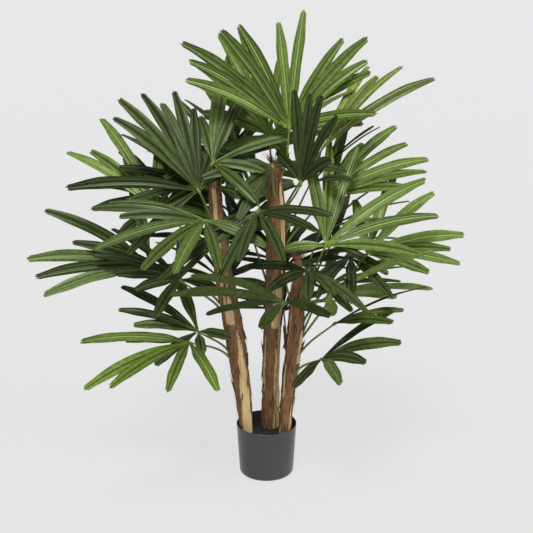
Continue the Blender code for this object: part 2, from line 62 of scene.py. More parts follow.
# Trunks: the foot and tip of the centre line, its bow and sway sideways, and radii evenly from foot to tip.
# The folds of the wrap run round the trunk and twist as they rise
Trunk = namedtuple("Trunk", "foot tip bow sway radii")
TRUNKS = {
    "left": Trunk((-0.051, -0.014), (-0.131, -0.012, 0.830), -0.004, 0.005,
                  (0.0165, 0.0200, 0.0235, 0.0230, 0.0195, 0.0155, 0.0070)),
    "middle": Trunk((0.010, 0.020), (0.022, 0.000, 0.830), 0.003, -0.003,
                    (0.0225, 0.0210, 0.0210, 0.0215, 0.0225, 0.0205, 0.0110)),
    "right": Trunk((0.047, -0.020), (0.078, -0.012, 0.590), 0.006, -0.003,
                   (0.0150, 0.0155, 0.0180, 0.0195, 0.0190, 0.0165, 0.0075)),
}
TRUNK_FOOT = FILL_TOP + CLEAR
TRUNK_SIDES = 12
TRUNK_RINGS = 15
WRAP_FOLDS = 0.05
WRAP_FOLDS_ROUND = 3
WRAP_TWIST = 17.0

# Stalks: shares of the span by which they rise at the foot and run on at the hub, and how far they follow the
# fan there. Spreads off the trunk, and moves round and along it, are tried in turn until one runs free
STALK_FOOT_RADIUS = 0.0040
STALK_TIP_RADIUS = 0.0026
STALK_SIDES = 4
STALK_RINGS = 5
STALK_RISE = 0.30
STALK_END = 0.30
STALK_FOLLOW = 0.60
STALK_SPREADS = (0.2, 0.35, 0.5)
STALK_TURNS = (0, 15, -15, 30, -30, 45, -45, 60, -60)
STALK_SHIFTS = (0.0, 0.012, -0.012, 0.024, -0.024)
SEAT_START = 1.3
SEAT_TRIES = 12
SEAT_GAP = 1.3 * CLEAR

# Hubs: small knobs, narrower at both ends
HUB_RADIUS = 0.0080
HUB_SIDES = 5
HUB_RINGS = ((-0.9, 0.45), (0.0, 1.0), (0.9, 0.5))

# Leaflets: full width, depth of the rib below, fall of the tip, start inside the hub, and sections by step
LEAFLET_WIDTH = 0.026
LEAFLET_RIB = 0.0033
LEAFLET_FALL = 0.45
LEAFLET_START = 0.0055
LEAFLET_STEPS = 20
SECTIONS = (0, 7, 16, 20)
ROOT_WIDTH = 0.25
FULL_WIDTH_AT = 0.50
TIP_CLOSES_AT = 0.88
TIP_CLOSES_BY = 0.35
RIB_THINS_BY = 0.45
SHORTER_AT_SIDE = 0.5
SIDE_ANGLE = 110.0
MOST_ANGLE_SHARE = 1.3
SIDE_POWER = 1.6

# Room that a leaflet keeps round itself while it is being placed
ROOM_SIDE = 0.0012
ROOM_FACE = 0.0010
NUDGES = (3.0, 6.0, 9.0, 12.0, 16.0, 20.0)
NUDGE_WAYS = 8
SHORTER = (1.0, 0.85, 0.7)

# Fans that show from the front: trunk, height of the stalk's foot, hub, (heading, lift, roll) in degrees,
# where a heading of 0 is +X and 90 is away from the front, longest leaflet, (angle, share of the length) of
# each leaflet, and how far its blades turn their upper sides to the front, or if below 0 their undersides
Fan = namedtuple("Fan", "name trunk seat hub aim reach leaflets turn tint")
FRONT_FANS = (
    Fan("top_a", "middle", 0.79, (0.054, -0.030, 0.917), (107, 78, -15), 0.254,
        ((-9, 1.11), (1, 0.99), (17, 1.09), (24, 1.16), (38, 1.41), (42, 1.26), (50, 1.24),
         (-28, 1.03), (-36, 1.22), (-43, 1.09)), 0, "bright"),
    Fan("front_a", "middle", 0.62, (-0.020, -0.140, 0.742), (247, -15, 15), 0.278,
        ((95, 1.09), (73, 0.89), (40, 0.89), (-1, 0.84), (-34, 1.07), (-48, 1.17), (-90, 0.92),
         (8, 0.64)), 0.4, "dark"),
    Fan("left_front_a", "left", 0.6, (-0.143, -0.160, 0.726), (224, 8, -15), 0.31,
        ((-7, 0.95), (18, 0.89), (61, 0.74), (33, 0.83), (116, 1.14), (138, 1.5), (-51, 1.03),
         (-63, 1.03), (-42, 0.72)), 0.5, "mid"),
    Fan("right_a", "right", 0.5, (0.142, -0.100, 0.647), (50, 50, 34), 0.279,
        ((109, 0.74), (31, 1.09), (22, 1.07), (10, 1.03), (-21, 1.16), (-38, 1.16), (-58, 0.99)),
        0, "bright"),
    Fan("left_low_a", "left", 0.325, (-0.190, -0.100, 0.397), (210, 10, 0), 0.3,
        ((-45, 1.1), (17, 1.13), (24, 1.0), (51, 0.94), (81, 1.05), (-52, 0.7)), 0.6, "bright"),
    Fan("top_b", "middle", 0.77, (0.008, 0.040, 0.886), (100, 70, -38), 0.28,
        ((19, 1.14), (10, 1.04), (35, 1.14), (42, 1.06), (55, 0.89), (-11, 0.82), (93, 1.31),
         (-137, 0.92), (-50, 1.2), (-74, 1.35)), 0, "bright"),
    Fan("top_c", "middle", 0.71, (0.146, 0.050, 0.861), (20, 40, 26), 0.281,
        ((14, 1.09), (-2, 1.14), (29, 1.05), (21, 0.91)), 0, "olive"),
    Fan("right_low_a", "middle", 0.45, (0.144, -0.080, 0.506), (-24, 50, -22), 0.272,
        ((27, 1.11), (66, 1.64), (72, 1.2), (55, 0.78), (-21, 0.53), (117, 0.82)), 0, "bright"),
    Fan("front_b", "middle", 0.43, (0.040, -0.120, 0.511), (216, 35, 30), 0.242,
        ((-56, 0.97), (-112, 1.2), (2, 1.22), (132, 1.49), (-23, 1.19)), -0.4, "mid"),
    Fan("top_d", "middle", 0.69, (0.081, -0.100, 0.802), (336, 89, 53), 0.24,
        ((9, 0.91), (-15, 0.99), (-30, 1.05), (-46, 0.72), (52, 0.61), (-6, 0.91)), 0.5, "dark"),
    Fan("top_e", "middle", 0.74, (0.015, -0.040, 0.826), (290, -40, 0), 0.24,
        ((-48, 0.82), (-64, 0.68), (-100, 1.26), (-120, 1.22), (98, 1.3)), 0, "dark"),
    Fan("left_top_a", "left", 0.69, (-0.163, -0.070, 0.776), (150, 50, -45), 0.273,
        ((6, 1.01), (-1, 1.11), (-10, 1.05), (-16, 0.9), (-23, 1.0), (-31, 0.83), (44, 1.3),
         (-68, 1.08), (-80, 0.88), (91, 1.31)), 0, "dark"),
    Fan("left_top_b", "left", 0.77, (-0.128, -0.050, 0.838), (30, 40, 34), 0.247,
        ((23, 0.97), (31, 1.61), (41, 1.09), (54, 0.74), (-19, 1.2), (-50, 0.59), (-99, 1.12)),
        0, "mid"),
    Fan("left_a", "left", 0.6, (-0.272, 0.020, 0.704), (120, 50, -15), 0.28,
        ((28, 1.07), (20, 0.89), (6, 1.11), (-19, 0.85), (-69, 0.95), (-103, 0.95), (-49, 1.11)),
        0, "bright"),
    Fan("left_b", "left", 0.58, (-0.253, 0.100, 0.703), (126, 50, -38), 0.24,
        ((39, 1.0), (11, 0.86), (92, 1.03), (59, 1.0), (-24, 0.76), (-115, 1.04), (-103, 0.85),
         (-92, 0.85), (-66, 0.76)), 0, "dark"),
    Fan("left_c", "left", 0.47, (-0.286, -0.030, 0.572), (173, 40, -53), 0.289,
        ((1, 1.01), (25, 1.09), (34, 1.05), (44, 1.05), (-84, 0.81), (-41, 1.14)), 0, "mid"),
    Fan("left_d", "left", 0.455, (-0.212, -0.060, 0.548), (126, 30, 15), 0.24,
        ((88, 0.86), (122, 1.61), (18, 0.92), (-33, 1.36), (-93, 1.01), (66, 0.87), (49, 1.05),
         (34, 1.25)), 0.2, "dark"),
    Fan("left_low_b", "left", 0.345, (-0.170, -0.060, 0.412), (160, 30, -30), 0.219,
        ((-6, 1.09), (10, 0.96), (21, 0.76), (-39, 1.05), (122, 0.73), (-137, 1.33), (68, 0.8)),
        0, "mid"),
    Fan("right_b", "right", 0.38, (0.248, -0.020, 0.601), (30, 38, 42), 0.228,
        ((27, 1.09), (5, 1.09), (-24, 1.16), (-42, 1.14), (-32, 0.99), (51, 0.82), (-54, 0.83)),
        0, "bright"),
    Fan("right_c", "middle", 0.61, (0.149, 0.040, 0.731), (40, 40, 38), 0.252,
        ((2, 1.14), (-8, 1.08), (-20, 1.2), (-26, 1.14), (10, 0.76), (24, 0.93), (-34, 0.93)),
        0, "bright"),
    Fan("right_d", "right", 0.42, (0.211, 0.030, 0.576), (-66, 5, -3), 0.22,
        ((-66, 1.03), (-2, 0.84), (-30, 1.25), (109, 0.83), (-44, 1.39), (-101, 1.11)), 0.4, "dark"),
    Fan("right_low_b", "right", 0.34, (0.172, -0.020, 0.418), (20, 30, -15), 0.24,
        ((-56, 0.96), (1, 1.08), (-40, 0.89), (-33, 0.75)), 0.2, "mid"),
    Fan("right_low_c", "right", 0.29, (0.137, -0.080, 0.346), (-60, 30, 30), 0.263,
        ((74, 1.29), (14, 1.05), (-1, 0.78), (-22, 0.8), (-137, 1.38)), 0.5, "mid"),
    Fan("front_c", "right", 0.49, (0.101, -0.100, 0.585), (263, 3, -11), 0.2,
        ((-32, 0.84), (5, 0.74), (33, 0.72), (-99, 1.32), (79, 1.04), (43, 1.26)), 0.6, "dark"),
)

# Fans of the back and the sides, by rule: height of the stalk's foot, heading and seed of the scatter. Hubs
# stand off the trunk by the arm and the rise, fans lift more the higher they sit, and blades turn their upper
# sides away from the front. Pairs are the ends of a random spread
BACK_TIERS = {
    "left": ((0.70, 83, 15), (0.62, 124, 14), (0.54, 85, 22), (0.46, 105, 17), (0.36, 108, 25)),
    "middle": ((0.74, 85, 21), (0.72, 140, 30), (0.64, 23, 14), (0.58, 115, 5), (0.50, 132, 1),
               (0.42, 70, 32)),
    "right": ((0.50, 60, 27), (0.47, 37, 40), (0.43, 110, 38), (0.35, 52, 20), (0.28, 98, 19)),
}
BACK_ARM = (0.089, 0.131)
BACK_RISE = (0.098, 0.138)
BACK_REACH = (0.239, 0.276)
BACK_LIFT = (50.0, 79.0)
BACK_HEADING_OFF = (-12.0, 12.0)
BACK_ROLL = (-20.0, 20.0)
BACK_ANGLE_OFF = (-4.0, 4.0)
BACK_SHARE = (0.88, 1.08)
BACK_TURN = -0.3
BACK_SPREAD = (-72.0, -48.0, -25.0, -4.0, 17.0, 40.0, 66.0)
BACK_TINTS = ("mid", "dark", "bright", "dark", "mid", "olive")

# Fine leaflets: rows and columns, width and length against the solid's, place where they are full, where and
# by how much they taper, how far they roll and twist in radians, and thickness
LEAF_ROWS = 30
LEAF_COLUMNS = 16
FINE_WIDTH = (0.96, 1.16)
FINE_LONGER = 1.025
FINE_FULL_AT = 0.38
TAPER_FROM = 0.70
TAPER_BY = 0.48
ROLL = 0.20
TWIST = 0.30
LEAF_THICKNESS = 0.00045
# Their relief: fold against the solid's rib, veins, a rib on each side and the groove in the middle. Places
# and widths are shares of the half width
FOLD_DEPTH = 0.85
VEIN_HEIGHT = 0.00028
SIDE_RIB_AT = 0.52
SIDE_RIB_HEIGHT = 0.0016
SIDE_RIB_WIDTH = 0.20
GROOVE_DEPTH = 0.0006
GROOVE_WIDTH = 0.10
# Waves of their edges, as a share of the width, and of their faces: height, radians along the leaflet, start,
# and how far one edge is ahead of the other
EDGE_WAVE = 0.045
EDGE_RADIANS = (9.0, 15.0)
EDGE_AHEAD = 2.0
FACE_WAVE = 0.0008
FACE_RADIANS = (5.0, 11.0)
WAVE_START = (0.0, 6.0)
# Their ends, as shares of the length: where the teeth begin, how deep these and the tip's round are, how far
# the pale root reaches and how raggedly it ends
TEETH_FROM = 0.92
TOOTH_DEPTH = 0.028
TIP_ROUND = 0.022
PALE_ROOT = (0.01, 0.06)
ROOT_RAGGED = 0.03

# Fine stalks and hubs. A hub's rings have a place along its length and a width
FINE_STALK_SIDES = 8
FINE_STALK_STEPS = 20
STALK_SLIM = 0.80
KNOB_SIDES = 10
KNOB_RADIUS = 0.0042
KNOB_LENGTH = 0.0075
KNOB = ((-1.4, 0.35), (-1.0, 0.7), (-0.5, 0.95), (0.0, 1.0), (0.5, 0.8), (0.8, 0.5), (1.0, 0.2))

# Tints of the leaves: upper side, underside, how strongly it shines (this also scales the painted sheen on
# the ridges and pale lines), share of leaflets with a pale line
Tint = namedtuple("Tint", "upper under gleam lines")
TINTS = {
    "bright": Tint((0.082, 0.134, 0.014), (0.100, 0.155, 0.026), 0.45, 0.50),
    "mid": Tint((0.052, 0.081, 0.015), (0.060, 0.092, 0.014), 0.30, 0.20),
    "dark": Tint((0.036, 0.052, 0.014), (0.046, 0.064, 0.014), 0.18, 0.12),
    "olive": Tint((0.115, 0.155, 0.024), (0.118, 0.150, 0.026), 0.40, 0.30),
}
# Shades of a tint, the ones that a leaflet draws from, colour of the gloss, and how rough both sides are
SHADES = (0.52, 0.95, 1.34)
SHADES_DRAWN = (0, 1, 1, 2)
GLINT = (0.85, 1.0, 0.70)
UPPER_ROUGHNESS = 0.38
UNDER_ROUGHNESS = 0.60
# Spots on both sides: darkest and lightest shade, cells to a metre, and how much the roughness changes
SPOT_SHADES = (0.70, 1.25)
SPOT_CELLS = (90.0, 90.0, 90.0)
SPOT_ROUGHNESS = 0.06
# Parts of the upper side, whose materials follow those of the shades: shade, and painted sheen that the gleam
# adds. The root is pale, the groove is darkened with painted shade, the ridges carry a painted highlight, and
# a pale line with painted sheen takes the groove's place
LEAF_PARTS = (
    ("root", 2.0, (0.0, 0.0, 0.0)),
    # Groove: painted shade, a darker colour in the crease
    ("groove", 0.50, (0.0, 0.0, 0.0)),
    # Ridges: lighter, with painted sheen, a painted highlight along the raised side ribs
    ("ridge", 1.45, (0.070, 0.082, 0.058)),
    # Pale line: a paler midrib colour with painted sheen added
    ("line", 1.7, (0.220, 0.255, 0.180)),
)
ROOT_LOOK, GROOVE_SHADE_LOOK, RIDGE_HIGHLIGHT_LOOK, PALE_LINE_SHEEN_LOOK = range(2 * len(SHADES), 2 * len(SHADES) + 4)
# Columns of the groove, and of the ridges whose faces take the painted highlight
GROOVE_COLUMNS = (7, 8)
RIDGE_HIGHLIGHT_COLUMNS = (4, 11)
# Colour and roughness of the stalks
STALK_LOOK = ((0.140, 0.185, 0.035), 0.45)

# Trunk skins: cell height, sides, and the fibre noise below which the wrap is cracked
SKIN_CELL = 0.0013
SKIN_SIDES = 120
CRACK_AT = -0.42
TRUNK_SEEDS = {"left": 3.0, "middle": 11.0, "right": 23.0}
# Noises on a skin, for its lumps, fibres, grain and torn edges: height and width of the cells in metres, and
# what is added to the trunk's seed
SKIN_NOISES = ((0.045, 0.016, 0.0), (0.030, 0.0022, 31.0), (0.009, 0.0010, 57.0), (0.012, 0.0040, 83.0))
# Relief in metres: mean height of the wrap and of the wood, then what the noises add, without the torn edges
# and in the wood without the grain. At both ends a share is left, and it is full within 1 / RELIEF_GROWS
WRAP_RELIEF = (0.0008, 0.0016, 0.0011, 0.0006)
WOOD_RELIEF = (-0.0016, 0.0006, 0.0003)
RELIEF_LEFT = 0.25
RELIEF_GROWS = 25.0
# Sheaths of the wrap, one above another: length, step where one ends, and how far the end wanders with the
# noises of the lumps and torn edges and slants round the trunk, in sheaths
SHEATH_LENGTH = 0.105
SHEATH_STEP = 0.0009
SHEATH_WANDER = (0.22, 0.10)
SHEATH_SLANT = 0.5
# Bare strips of wood: lowest and highest point, angle from the front at both (to the right is above 0),
# half width at both, in degrees. A place is fully inside at STRIP_SIDE degrees from a strip's side and at
# STRIP_ENDS of its length from its ends, and two noises each move the torn edge by up to RAGGED of that
STRIP_SIDE = 30.0
STRIP_ENDS = 1.0 / 6.0
RAGGED = 0.16
STRIPS = {
    "left": ((0.05, 0.29, 12, 20, 54, 27), (0.28, 0.405, 20, 28, 27, 4), (0.42, 0.60, -6, -14, 28, 30),
             (0.62, 0.79, -8, 0, 20, 25), (0.05, 0.50, 175, 160, 35, 10), (0.52, 0.75, 140, 150, 14, 20)),
    "middle": ((0.05, 0.44, 66, 62, 26, 20), (0.05, 0.34, 24, 30, 9, 5), (0.40, 0.53, 22, 20, 38, 34),
               (0.22, 0.38, -64, -60, 16, 14), (0.52, 0.78, 62, 40, 22, 12), (0.05, 0.30, 200, 190, 25, 6),
               (0.45, 0.70, 170, 150, 12, 22)),
    "right": ((0.05, 0.18, 56, 64, 36, 24), (0.18, 0.27, 68, 70, 24, 12), (0.05, 0.15, -62, -66, 22, 12),
              (0.22, 0.31, -60, -62, 24, 16), (0.31, 0.40, 66, 62, 26, 20), (0.36, 0.50, -66, -60, 18, 10),
              (0.05, 0.34, 160, 175, 30, 12)),
}

# Loose fibres and shreds that peel off: how many, steps along, lowest and highest place, length, radius and
# twist round the trunk. Then how far their ends lift, in metres, and how far they start off the skin
Loose = namedtuple("Loose", "count steps place length radius twist")
HAIRS = Loose(260, 6, (0.06, 0.97), (0.015, 0.050), (0.00010, 0.00022), 1.1)
HAIR_LIFTS = (0.002, 0.004, 0.006, 0.012)
HAIR_LIFT_SPREAD = (0.6, 1.2)
HAIR_OFF = -0.0004
SHREDS = Loose(46, 8, (0.05, 0.93), (0.025, 0.075), (0.0010, 0.0026), 0.35)
SHRED_LIFT = (0.001, 0.008)
SHRED_OFF = 0.0002
SHRED_TAPER = np.array((0.3, 0.8, 1.0, 0.95, 0.85, 0.7, 0.5, 0.3, 0.1))
# Lowest and highest share of the trunk that they may reach
LOOSE_ENDS = (0.01, 0.995)
# Tuft at each tip: how many strands, steps, length, radius, lean and curl, and where they start: share of the
# tip's radius and depth below it
TUFT = 60
TUFT_STEPS = 6
TUFT_LENGTH = (0.020, 0.050)
TUFT_RADIUS = (0.0004, 0.0011)
TUFT_LEAN = (0.1, 0.75)
TUFT_CURL = 0.25
TUFT_RING = 0.7
TUFT_DEPTH = 0.012

# Shreds seen in the photo: height where they hang on, height of the loose end, angle from the front,
# lift of the loose end and half width. All twist, stand off the skin and taper by the first values
FLAP_TWIST = 0.2
FLAP_OFF = 0.0003
FLAP_TAPER = np.array((0.4, 0.9, 1.0, 0.85, 0.95, 0.7, 0.8, 0.45, 0.1))
FLAPS = {
    "left": ((0.405, 0.370, 78, 0.005, 0.0035), (0.300, 0.340, 80, 0.003, 0.0025)),
    "middle": ((0.450, 0.490, -84, 0.024, 0.0040), (0.560, 0.520, 75, 0.006, 0.0030)),
    "right": ((0.345, 0.418, -84, 0.015, 0.0045), (0.390, 0.350, -80, 0.010, 0.0030),
              (0.335, 0.372, 82, 0.007, 0.0030)),
}

# Pot and filler: steps, heights of the pot's rings outside and inside, and the roughness of the filler's top:
# cells to a metre and height
POT_STEPS = 128
FOOT_STEPS = 8
RIM_STEPS = 6
POT_RINGS = (0.04, 0.08, 0.12, POT_HEIGHT - 0.004)
POT_INNER_RING = 0.10
FILL_STEPS = 44
FILL_ROUGH = ((60.0, 0.0035), (190.0, 0.0018))
FILL_LOWER = 0.001
# Lumps of glue: how many, where, scatter, size, rings with a place upwards and a width, colour and roughness
GLUE_SEED = 5
GLUE_LUMPS = 7
GLUE_AT = (-0.022, -0.052, 0.119)
GLUE_SCATTER = (0.007, 0.006)
GLUE_SIZE = (0.004, 0.007)
GLUE_SIDES = 12
GLUE = ((-0.9, 0.45), (-0.6, 0.8), (-0.1, 1.0), (0.4, 0.9), (0.8, 0.55), (1.0, 0.2))
GLUE_LOOK = ((0.10, 0.095, 0.09), 0.25)

# Angle in degrees from which edges are sharp
SHARP = 60.0
SHARP_SKIN = 75.0
SHARP_ROUND = 40.0

# How little the dry fibre shines
DULL = 0.15
# Grained materials: cells are to a metre, low and high the noise at which the dark and light colour are
# reached, bump the height of the grain and rough how much it changes the roughness
GRAINED = {
    "wrap": dict(roughness=0.9, cells=(700.0, 700.0, 45.0), dark=(0.095, 0.045, 0.020),
                 light=(0.330, 0.188, 0.090), low=0.30, high=0.72, bump=0.0008, Specular_IOR_Level=DULL),
    "torn": dict(roughness=0.95, cells=(800.0, 800.0, 60.0), dark=(0.030, 0.015, 0.009),
                 light=(0.130, 0.070, 0.038), low=0.30, high=0.72, bump=0.0006, Specular_IOR_Level=DULL),
    "wood": dict(roughness=0.65, cells=(420.0, 420.0, 14.0), dark=(0.480, 0.320, 0.135),
                 light=(0.760, 0.570, 0.290), low=0.25, high=0.75, bump=0.0003),
    "coir": dict(roughness=0.9, cells=(300.0, 300.0, 60.0), dark=(0.060, 0.024, 0.012),
                 light=(0.210, 0.085, 0.040), low=0.30, high=0.70),
    "pot": dict(roughness=0.30, cells=(900.0, 900.0, 900.0), dark=(0.036, 0.036, 0.037),
                light=(0.043, 0.043, 0.044), bump=0.00006, rough=0.03),
    "soil": dict(roughness=0.85, cells=(260.0, 260.0, 260.0), dark=(0.005, 0.004, 0.003),
                 light=(0.024, 0.020, 0.016), bump=0.001),
}

# Studio: the floor is pale by its own glow, so that shadows on it stay soft, and the sky is even
FLOOR_SIZE = 60.0
FLOOR_COLOUR = (0.06, 0.06, 0.06)
FLOOR_ROUGHNESS = 0.9
FLOOR_GLOW = 0.685
SKY_COLOUR = (1.0, 1.0, 1.0)
SKY_STRENGTH = 0.33
# Suns: where they stand, how wide they look in degrees, strength
SUNS = (
    ("key", (-0.4, -1.7, 3.4), 18.0, 2.90),
    ("fill", (2.6, -1.8, 1.6), 50.0, 1.15),
)
CAMERA_LENS = 85.0
CAMERA_SENSOR = 36.0
CAMERA_PITCH = 18.0
CAMERA_PLACE = (0.0, -2.982, 1.531)

UP = Vector((0.0, 0.0, 1.0))
# Upright share of an axis beyond which it counts as steep
STEEP = 0.9
# Where a blade faces once it is fully turned to the front
FRONT = Vector((0.0, -0.95, 0.31))


def smooth(x):
    """Rise from 0 to 1 with flat ends."""
    x = min(1.0, max(0.0, x))
    return x * x * (3.0 - 2.0 * x)


smooth_all = np.vectorize(smooth, otypes=[float])


def mix(values, share):
    """Value at a share of the way along an evenly spaced list."""
    place = min(1.0, max(0.0, share)) * (len(values) - 1)
    first = min(int(place), len(values) - 2)
    return values[first] + (values[first + 1] - values[first]) * (place - first)


def steps_to_one(count):
    """Shares of the way from 0 to 1 in even steps."""
    return [step / count for step in range(count + 1)]


def turns(count):
    """Angles evenly round a circle."""
    return [2.0 * math.pi * step / count for step in range(count)]


def flat_direction(heading):
    """Level unit vector of a heading in degrees."""
    return Vector((math.cos(math.radians(heading)), math.sin(math.radians(heading)), 0.0))


def loft(rings):
    """Vertices and faces of a closed solid through rings of points, with flat ends."""
    sides = len(rings[0])
    points = [point for ring in rings for point in ring]
    faces = [tuple(reversed(range(sides)))]
    for row in range(len(rings) - 1):
        for side in range(sides):
            after = (side + 1) % sides
            low = row * sides
            high = low + sides
            faces.append((low + side, low + after, high + after, high + side))
    faces.append(tuple(range(len(points) - sides, len(points))))
    return points, faces


def tree_of(solid):
    """Search tree of a solid's faces."""
    return BVHTree.FromPolygons(solid[0], solid[1])


def trunk_share(trunk, height):
    """How far up a trunk a height lies, from 0 to 1."""
    return (height - TRUNK_FOOT) / (trunk.tip[2] - TRUNK_FOOT)


def trunk_centre(trunk, share):
    """Point on a trunk's centre line."""
    foot = Vector((trunk.foot[0], trunk.foot[1], TRUNK_FOOT))
    point = foot.lerp(Vector(trunk.tip), share)
    point.x += trunk.bow * math.sin(math.pi * share) + trunk.sway * math.sin(2.0 * math.pi * share)
    return point


def trunk_solid(trunk):
    """Wrapped trunk with level rings, from its flat foot to its blunt tip."""
    rings = []
    for row in range(TRUNK_RINGS):
        share = row / (TRUNK_RINGS - 1)
        centre = trunk_centre(trunk, share)
        ring = []
        for turn in turns(TRUNK_SIDES):
            wave = math.sin(WRAP_FOLDS_ROUND * turn + WRAP_TWIST * share) * math.sin(math.pi * share)
            radius = mix(trunk.radii, share) * (1.0 + WRAP_FOLDS * wave)
            ring.append(centre + radius * Vector((math.cos(turn), math.sin(turn), 0.0)))
        rings.append(ring)
    return loft(rings)


def fan_axes(aim):
    """Main direction, sideways direction and upper face of a fan."""
    heading, lift, roll = aim
    level = flat_direction(heading)
    main = level * math.cos(math.radians(lift)) + UP * math.sin(math.radians(lift))
    flat_side = Vector((-level.y, level.x, 0.0))
    face = main.cross(flat_side)
    side = flat_side * math.cos(math.radians(roll)) + face * math.sin(math.radians(roll))
    return main, side, main.cross(side)


def leaflet_length(reach, angle, share):
    """Leaflets get shorter towards the sides of the fan."""
    sideways = min(MOST_ANGLE_SHARE, abs(angle) / SIDE_ANGLE)
    return reach * share * (1.0 - SHORTER_AT_SIDE * sideways ** SIDE_POWER)


def leaflet_line(fan, angle, tip_up, length):
    """Centre line of a leaflet: point, sideways direction and upper face at each step, as the tip falls."""
    main, side, face = fan_axes(fan.aim)
    start = main * math.cos(math.radians(angle)) + side * math.sin(math.radians(angle))
    start = (start + face * math.tan(math.radians(tip_up))).normalized()
    face = face * (1.0 - abs(fan.turn)) + FRONT * fan.turn
    point = Vector(fan.hub) + start * LEAFLET_START
    length -= LEAFLET_START
    line = []
    for step in range(LEAFLET_STEPS + 1):
        share = step / LEAFLET_STEPS
        way = (start - UP * LEAFLET_FALL * (share + 0.5 / LEAFLET_STEPS)).normalized()
        across = face.cross(way).normalized()
        line.append((point.copy(), across, way.cross(across)))
        point += way * (length / LEAFLET_STEPS)
    return line


def half_width(share):
    """Half of a leaflet's width: narrow at the hub, full past the middle, blunt at the tip."""
    opening = ROOT_WIDTH + (1.0 - ROOT_WIDTH) * smooth(share / FULL_WIDTH_AT)
    closing = 1.0 - TIP_CLOSES_BY * smooth((share - TIP_CLOSES_AT) / (1.0 - TIP_CLOSES_AT))
    return 0.5 * LEAFLET_WIDTH * opening * closing


def leaflet_solid(line, room_side=0.0, room_face=0.0):
    """Thin blade with a rib below, thinner towards the tip."""
    rings = []
    for step in SECTIONS:
        point, across, face = line[step]
        share = step / LEAFLET_STEPS
        wide = half_width(share) + room_side
        deep = LEAFLET_RIB * (1.0 - RIB_THINS_BY * share) + room_face
        rings.append((point - across * wide + face * room_face, point - face * deep,
                      point + across * wide + face * room_face))
    return loft(rings)


def hub_solid(hub, axis, room=0.0):
    """Small knob in which the stalk and the leaflets meet."""
    first = axis.cross(UP if abs(axis.z) < STEEP else Vector((1.0, 0.0, 0.0))).normalized()
    second = axis.cross(first)
    rings = []
    for along, wide in HUB_RINGS:
        ring = []
        for turn in turns(HUB_SIDES):
            spot = first * math.cos(turn) + second * math.sin(turn)
            ring.append(hub + (HUB_RADIUS + room) * (axis * along + spot * wide))
        rings.append(ring)
    return loft(rings)


def stalk_bends(foot, outward, hub, axis, spread):
    """Four points that a stalk's arch bends by, from its foot to its hub."""
    span = (hub - foot).length
    end = (hub - foot).normalized() + STALK_FOLLOW * axis
    return (foot, foot + outward * spread * span + UP * STALK_RISE * span,
            hub - end.normalized() * STALK_END * span, hub)


def arch_point(bends, t):
    """Point at a share of the way along an arch."""
    weights = ((1 - t) ** 3, 3 * t * (1 - t) ** 2, 3 * t * t * (1 - t), t ** 3)
    return sum((bend * weight for bend, weight in zip(bends, weights)), Vector())


def stalk_solid(foot, outward, hub, axis, spread, room=0.0):
    """Stalk that leaves the trunk's side, arches up and out, and ends in its hub."""
    bends = stalk_bends(foot, outward, hub, axis, spread)
    level_side = UP.cross(outward)
    rings = []
    for row in range(STALK_RINGS):
        t = row / (STALK_RINGS - 1)
        point = arch_point(bends, t)
        slopes = ((1 - t) ** 2, 2 * t * (1 - t), t * t)
        way = sum(((bends[k + 1] - bends[k]) * slopes[k] for k in range(3)), Vector()).normalized()
        if row == 0:
            first, second = level_side, UP
        else:
            first = (level_side - way * level_side.dot(way)).normalized()
            second = way.cross(first)
        radius = STALK_FOOT_RADIUS + (STALK_TIP_RADIUS - STALK_FOOT_RADIUS) * t + room
        rings.append([point + radius * (first * math.cos(turn) + second * math.sin(turn))
                      for turn in turns(STALK_SIDES)])
    return loft(rings)


def seat_on_trunk(trunk, trunk_tree, height, outward):
    """Point where a stalk starts: its flat end stands the small gap off the trunk."""
    centre = trunk_centre(trunk, trunk_share(trunk, height))
    side = UP.cross(outward)
    reach = max(trunk.radii) * SEAT_START
    for _ in range(SEAT_TRIES):
        point = centre + outward * reach
        near = []
        for part in (0.0, 0.5, 1.0):
            for turn in turns(STALK_SIDES * 2):
                place = point + part * STALK_FOOT_RADIUS * (side * math.cos(turn) + UP * math.sin(turn))
                near.append(trunk_tree.find_nearest(place)[3])
        reach -= min(near) - SEAT_GAP
    return centre + outward * reach


def back_fans():
    """Fans of the back and the sides, set out round the trunks by rule."""
    fans = []
    for trunk_name, tiers in BACK_TIERS.items():
        for number, (seat, heading, seed) in enumerate(tiers):
            rng = random.Random(seed)
            centre = trunk_centre(TRUNKS[trunk_name], trunk_share(TRUNKS[trunk_name], seat))
            hub = centre + flat_direction(heading) * rng.uniform(*BACK_ARM) + UP * rng.uniform(*BACK_RISE)
            lift = seat * rng.uniform(*BACK_LIFT)
            aim = (heading + rng.uniform(*BACK_HEADING_OFF), lift, rng.uniform(*BACK_ROLL))
            leaflets = tuple((angle + rng.uniform(*BACK_ANGLE_OFF), rng.uniform(*BACK_SHARE))
                             for angle in BACK_SPREAD)
            fans.append(Fan("back_%s_%d" % (trunk_name, number + 1), trunk_name, seat, tuple(hub), aim,
                            rng.uniform(*BACK_REACH), leaflets, BACK_TURN,
                            BACK_TINTS[len(fans) % len(BACK_TINTS)]))
    return fans


def nudges():
    """Turns in the fan and lifts out of it to try for a leaflet, in degrees, least first."""
    tries = [(0.0, 0.0)]
    for nudge, angle in itertools.product(NUDGES, turns(NUDGE_WAYS)):
        tries.append((nudge * math.cos(angle), nudge * math.sin(angle)))
    return tries


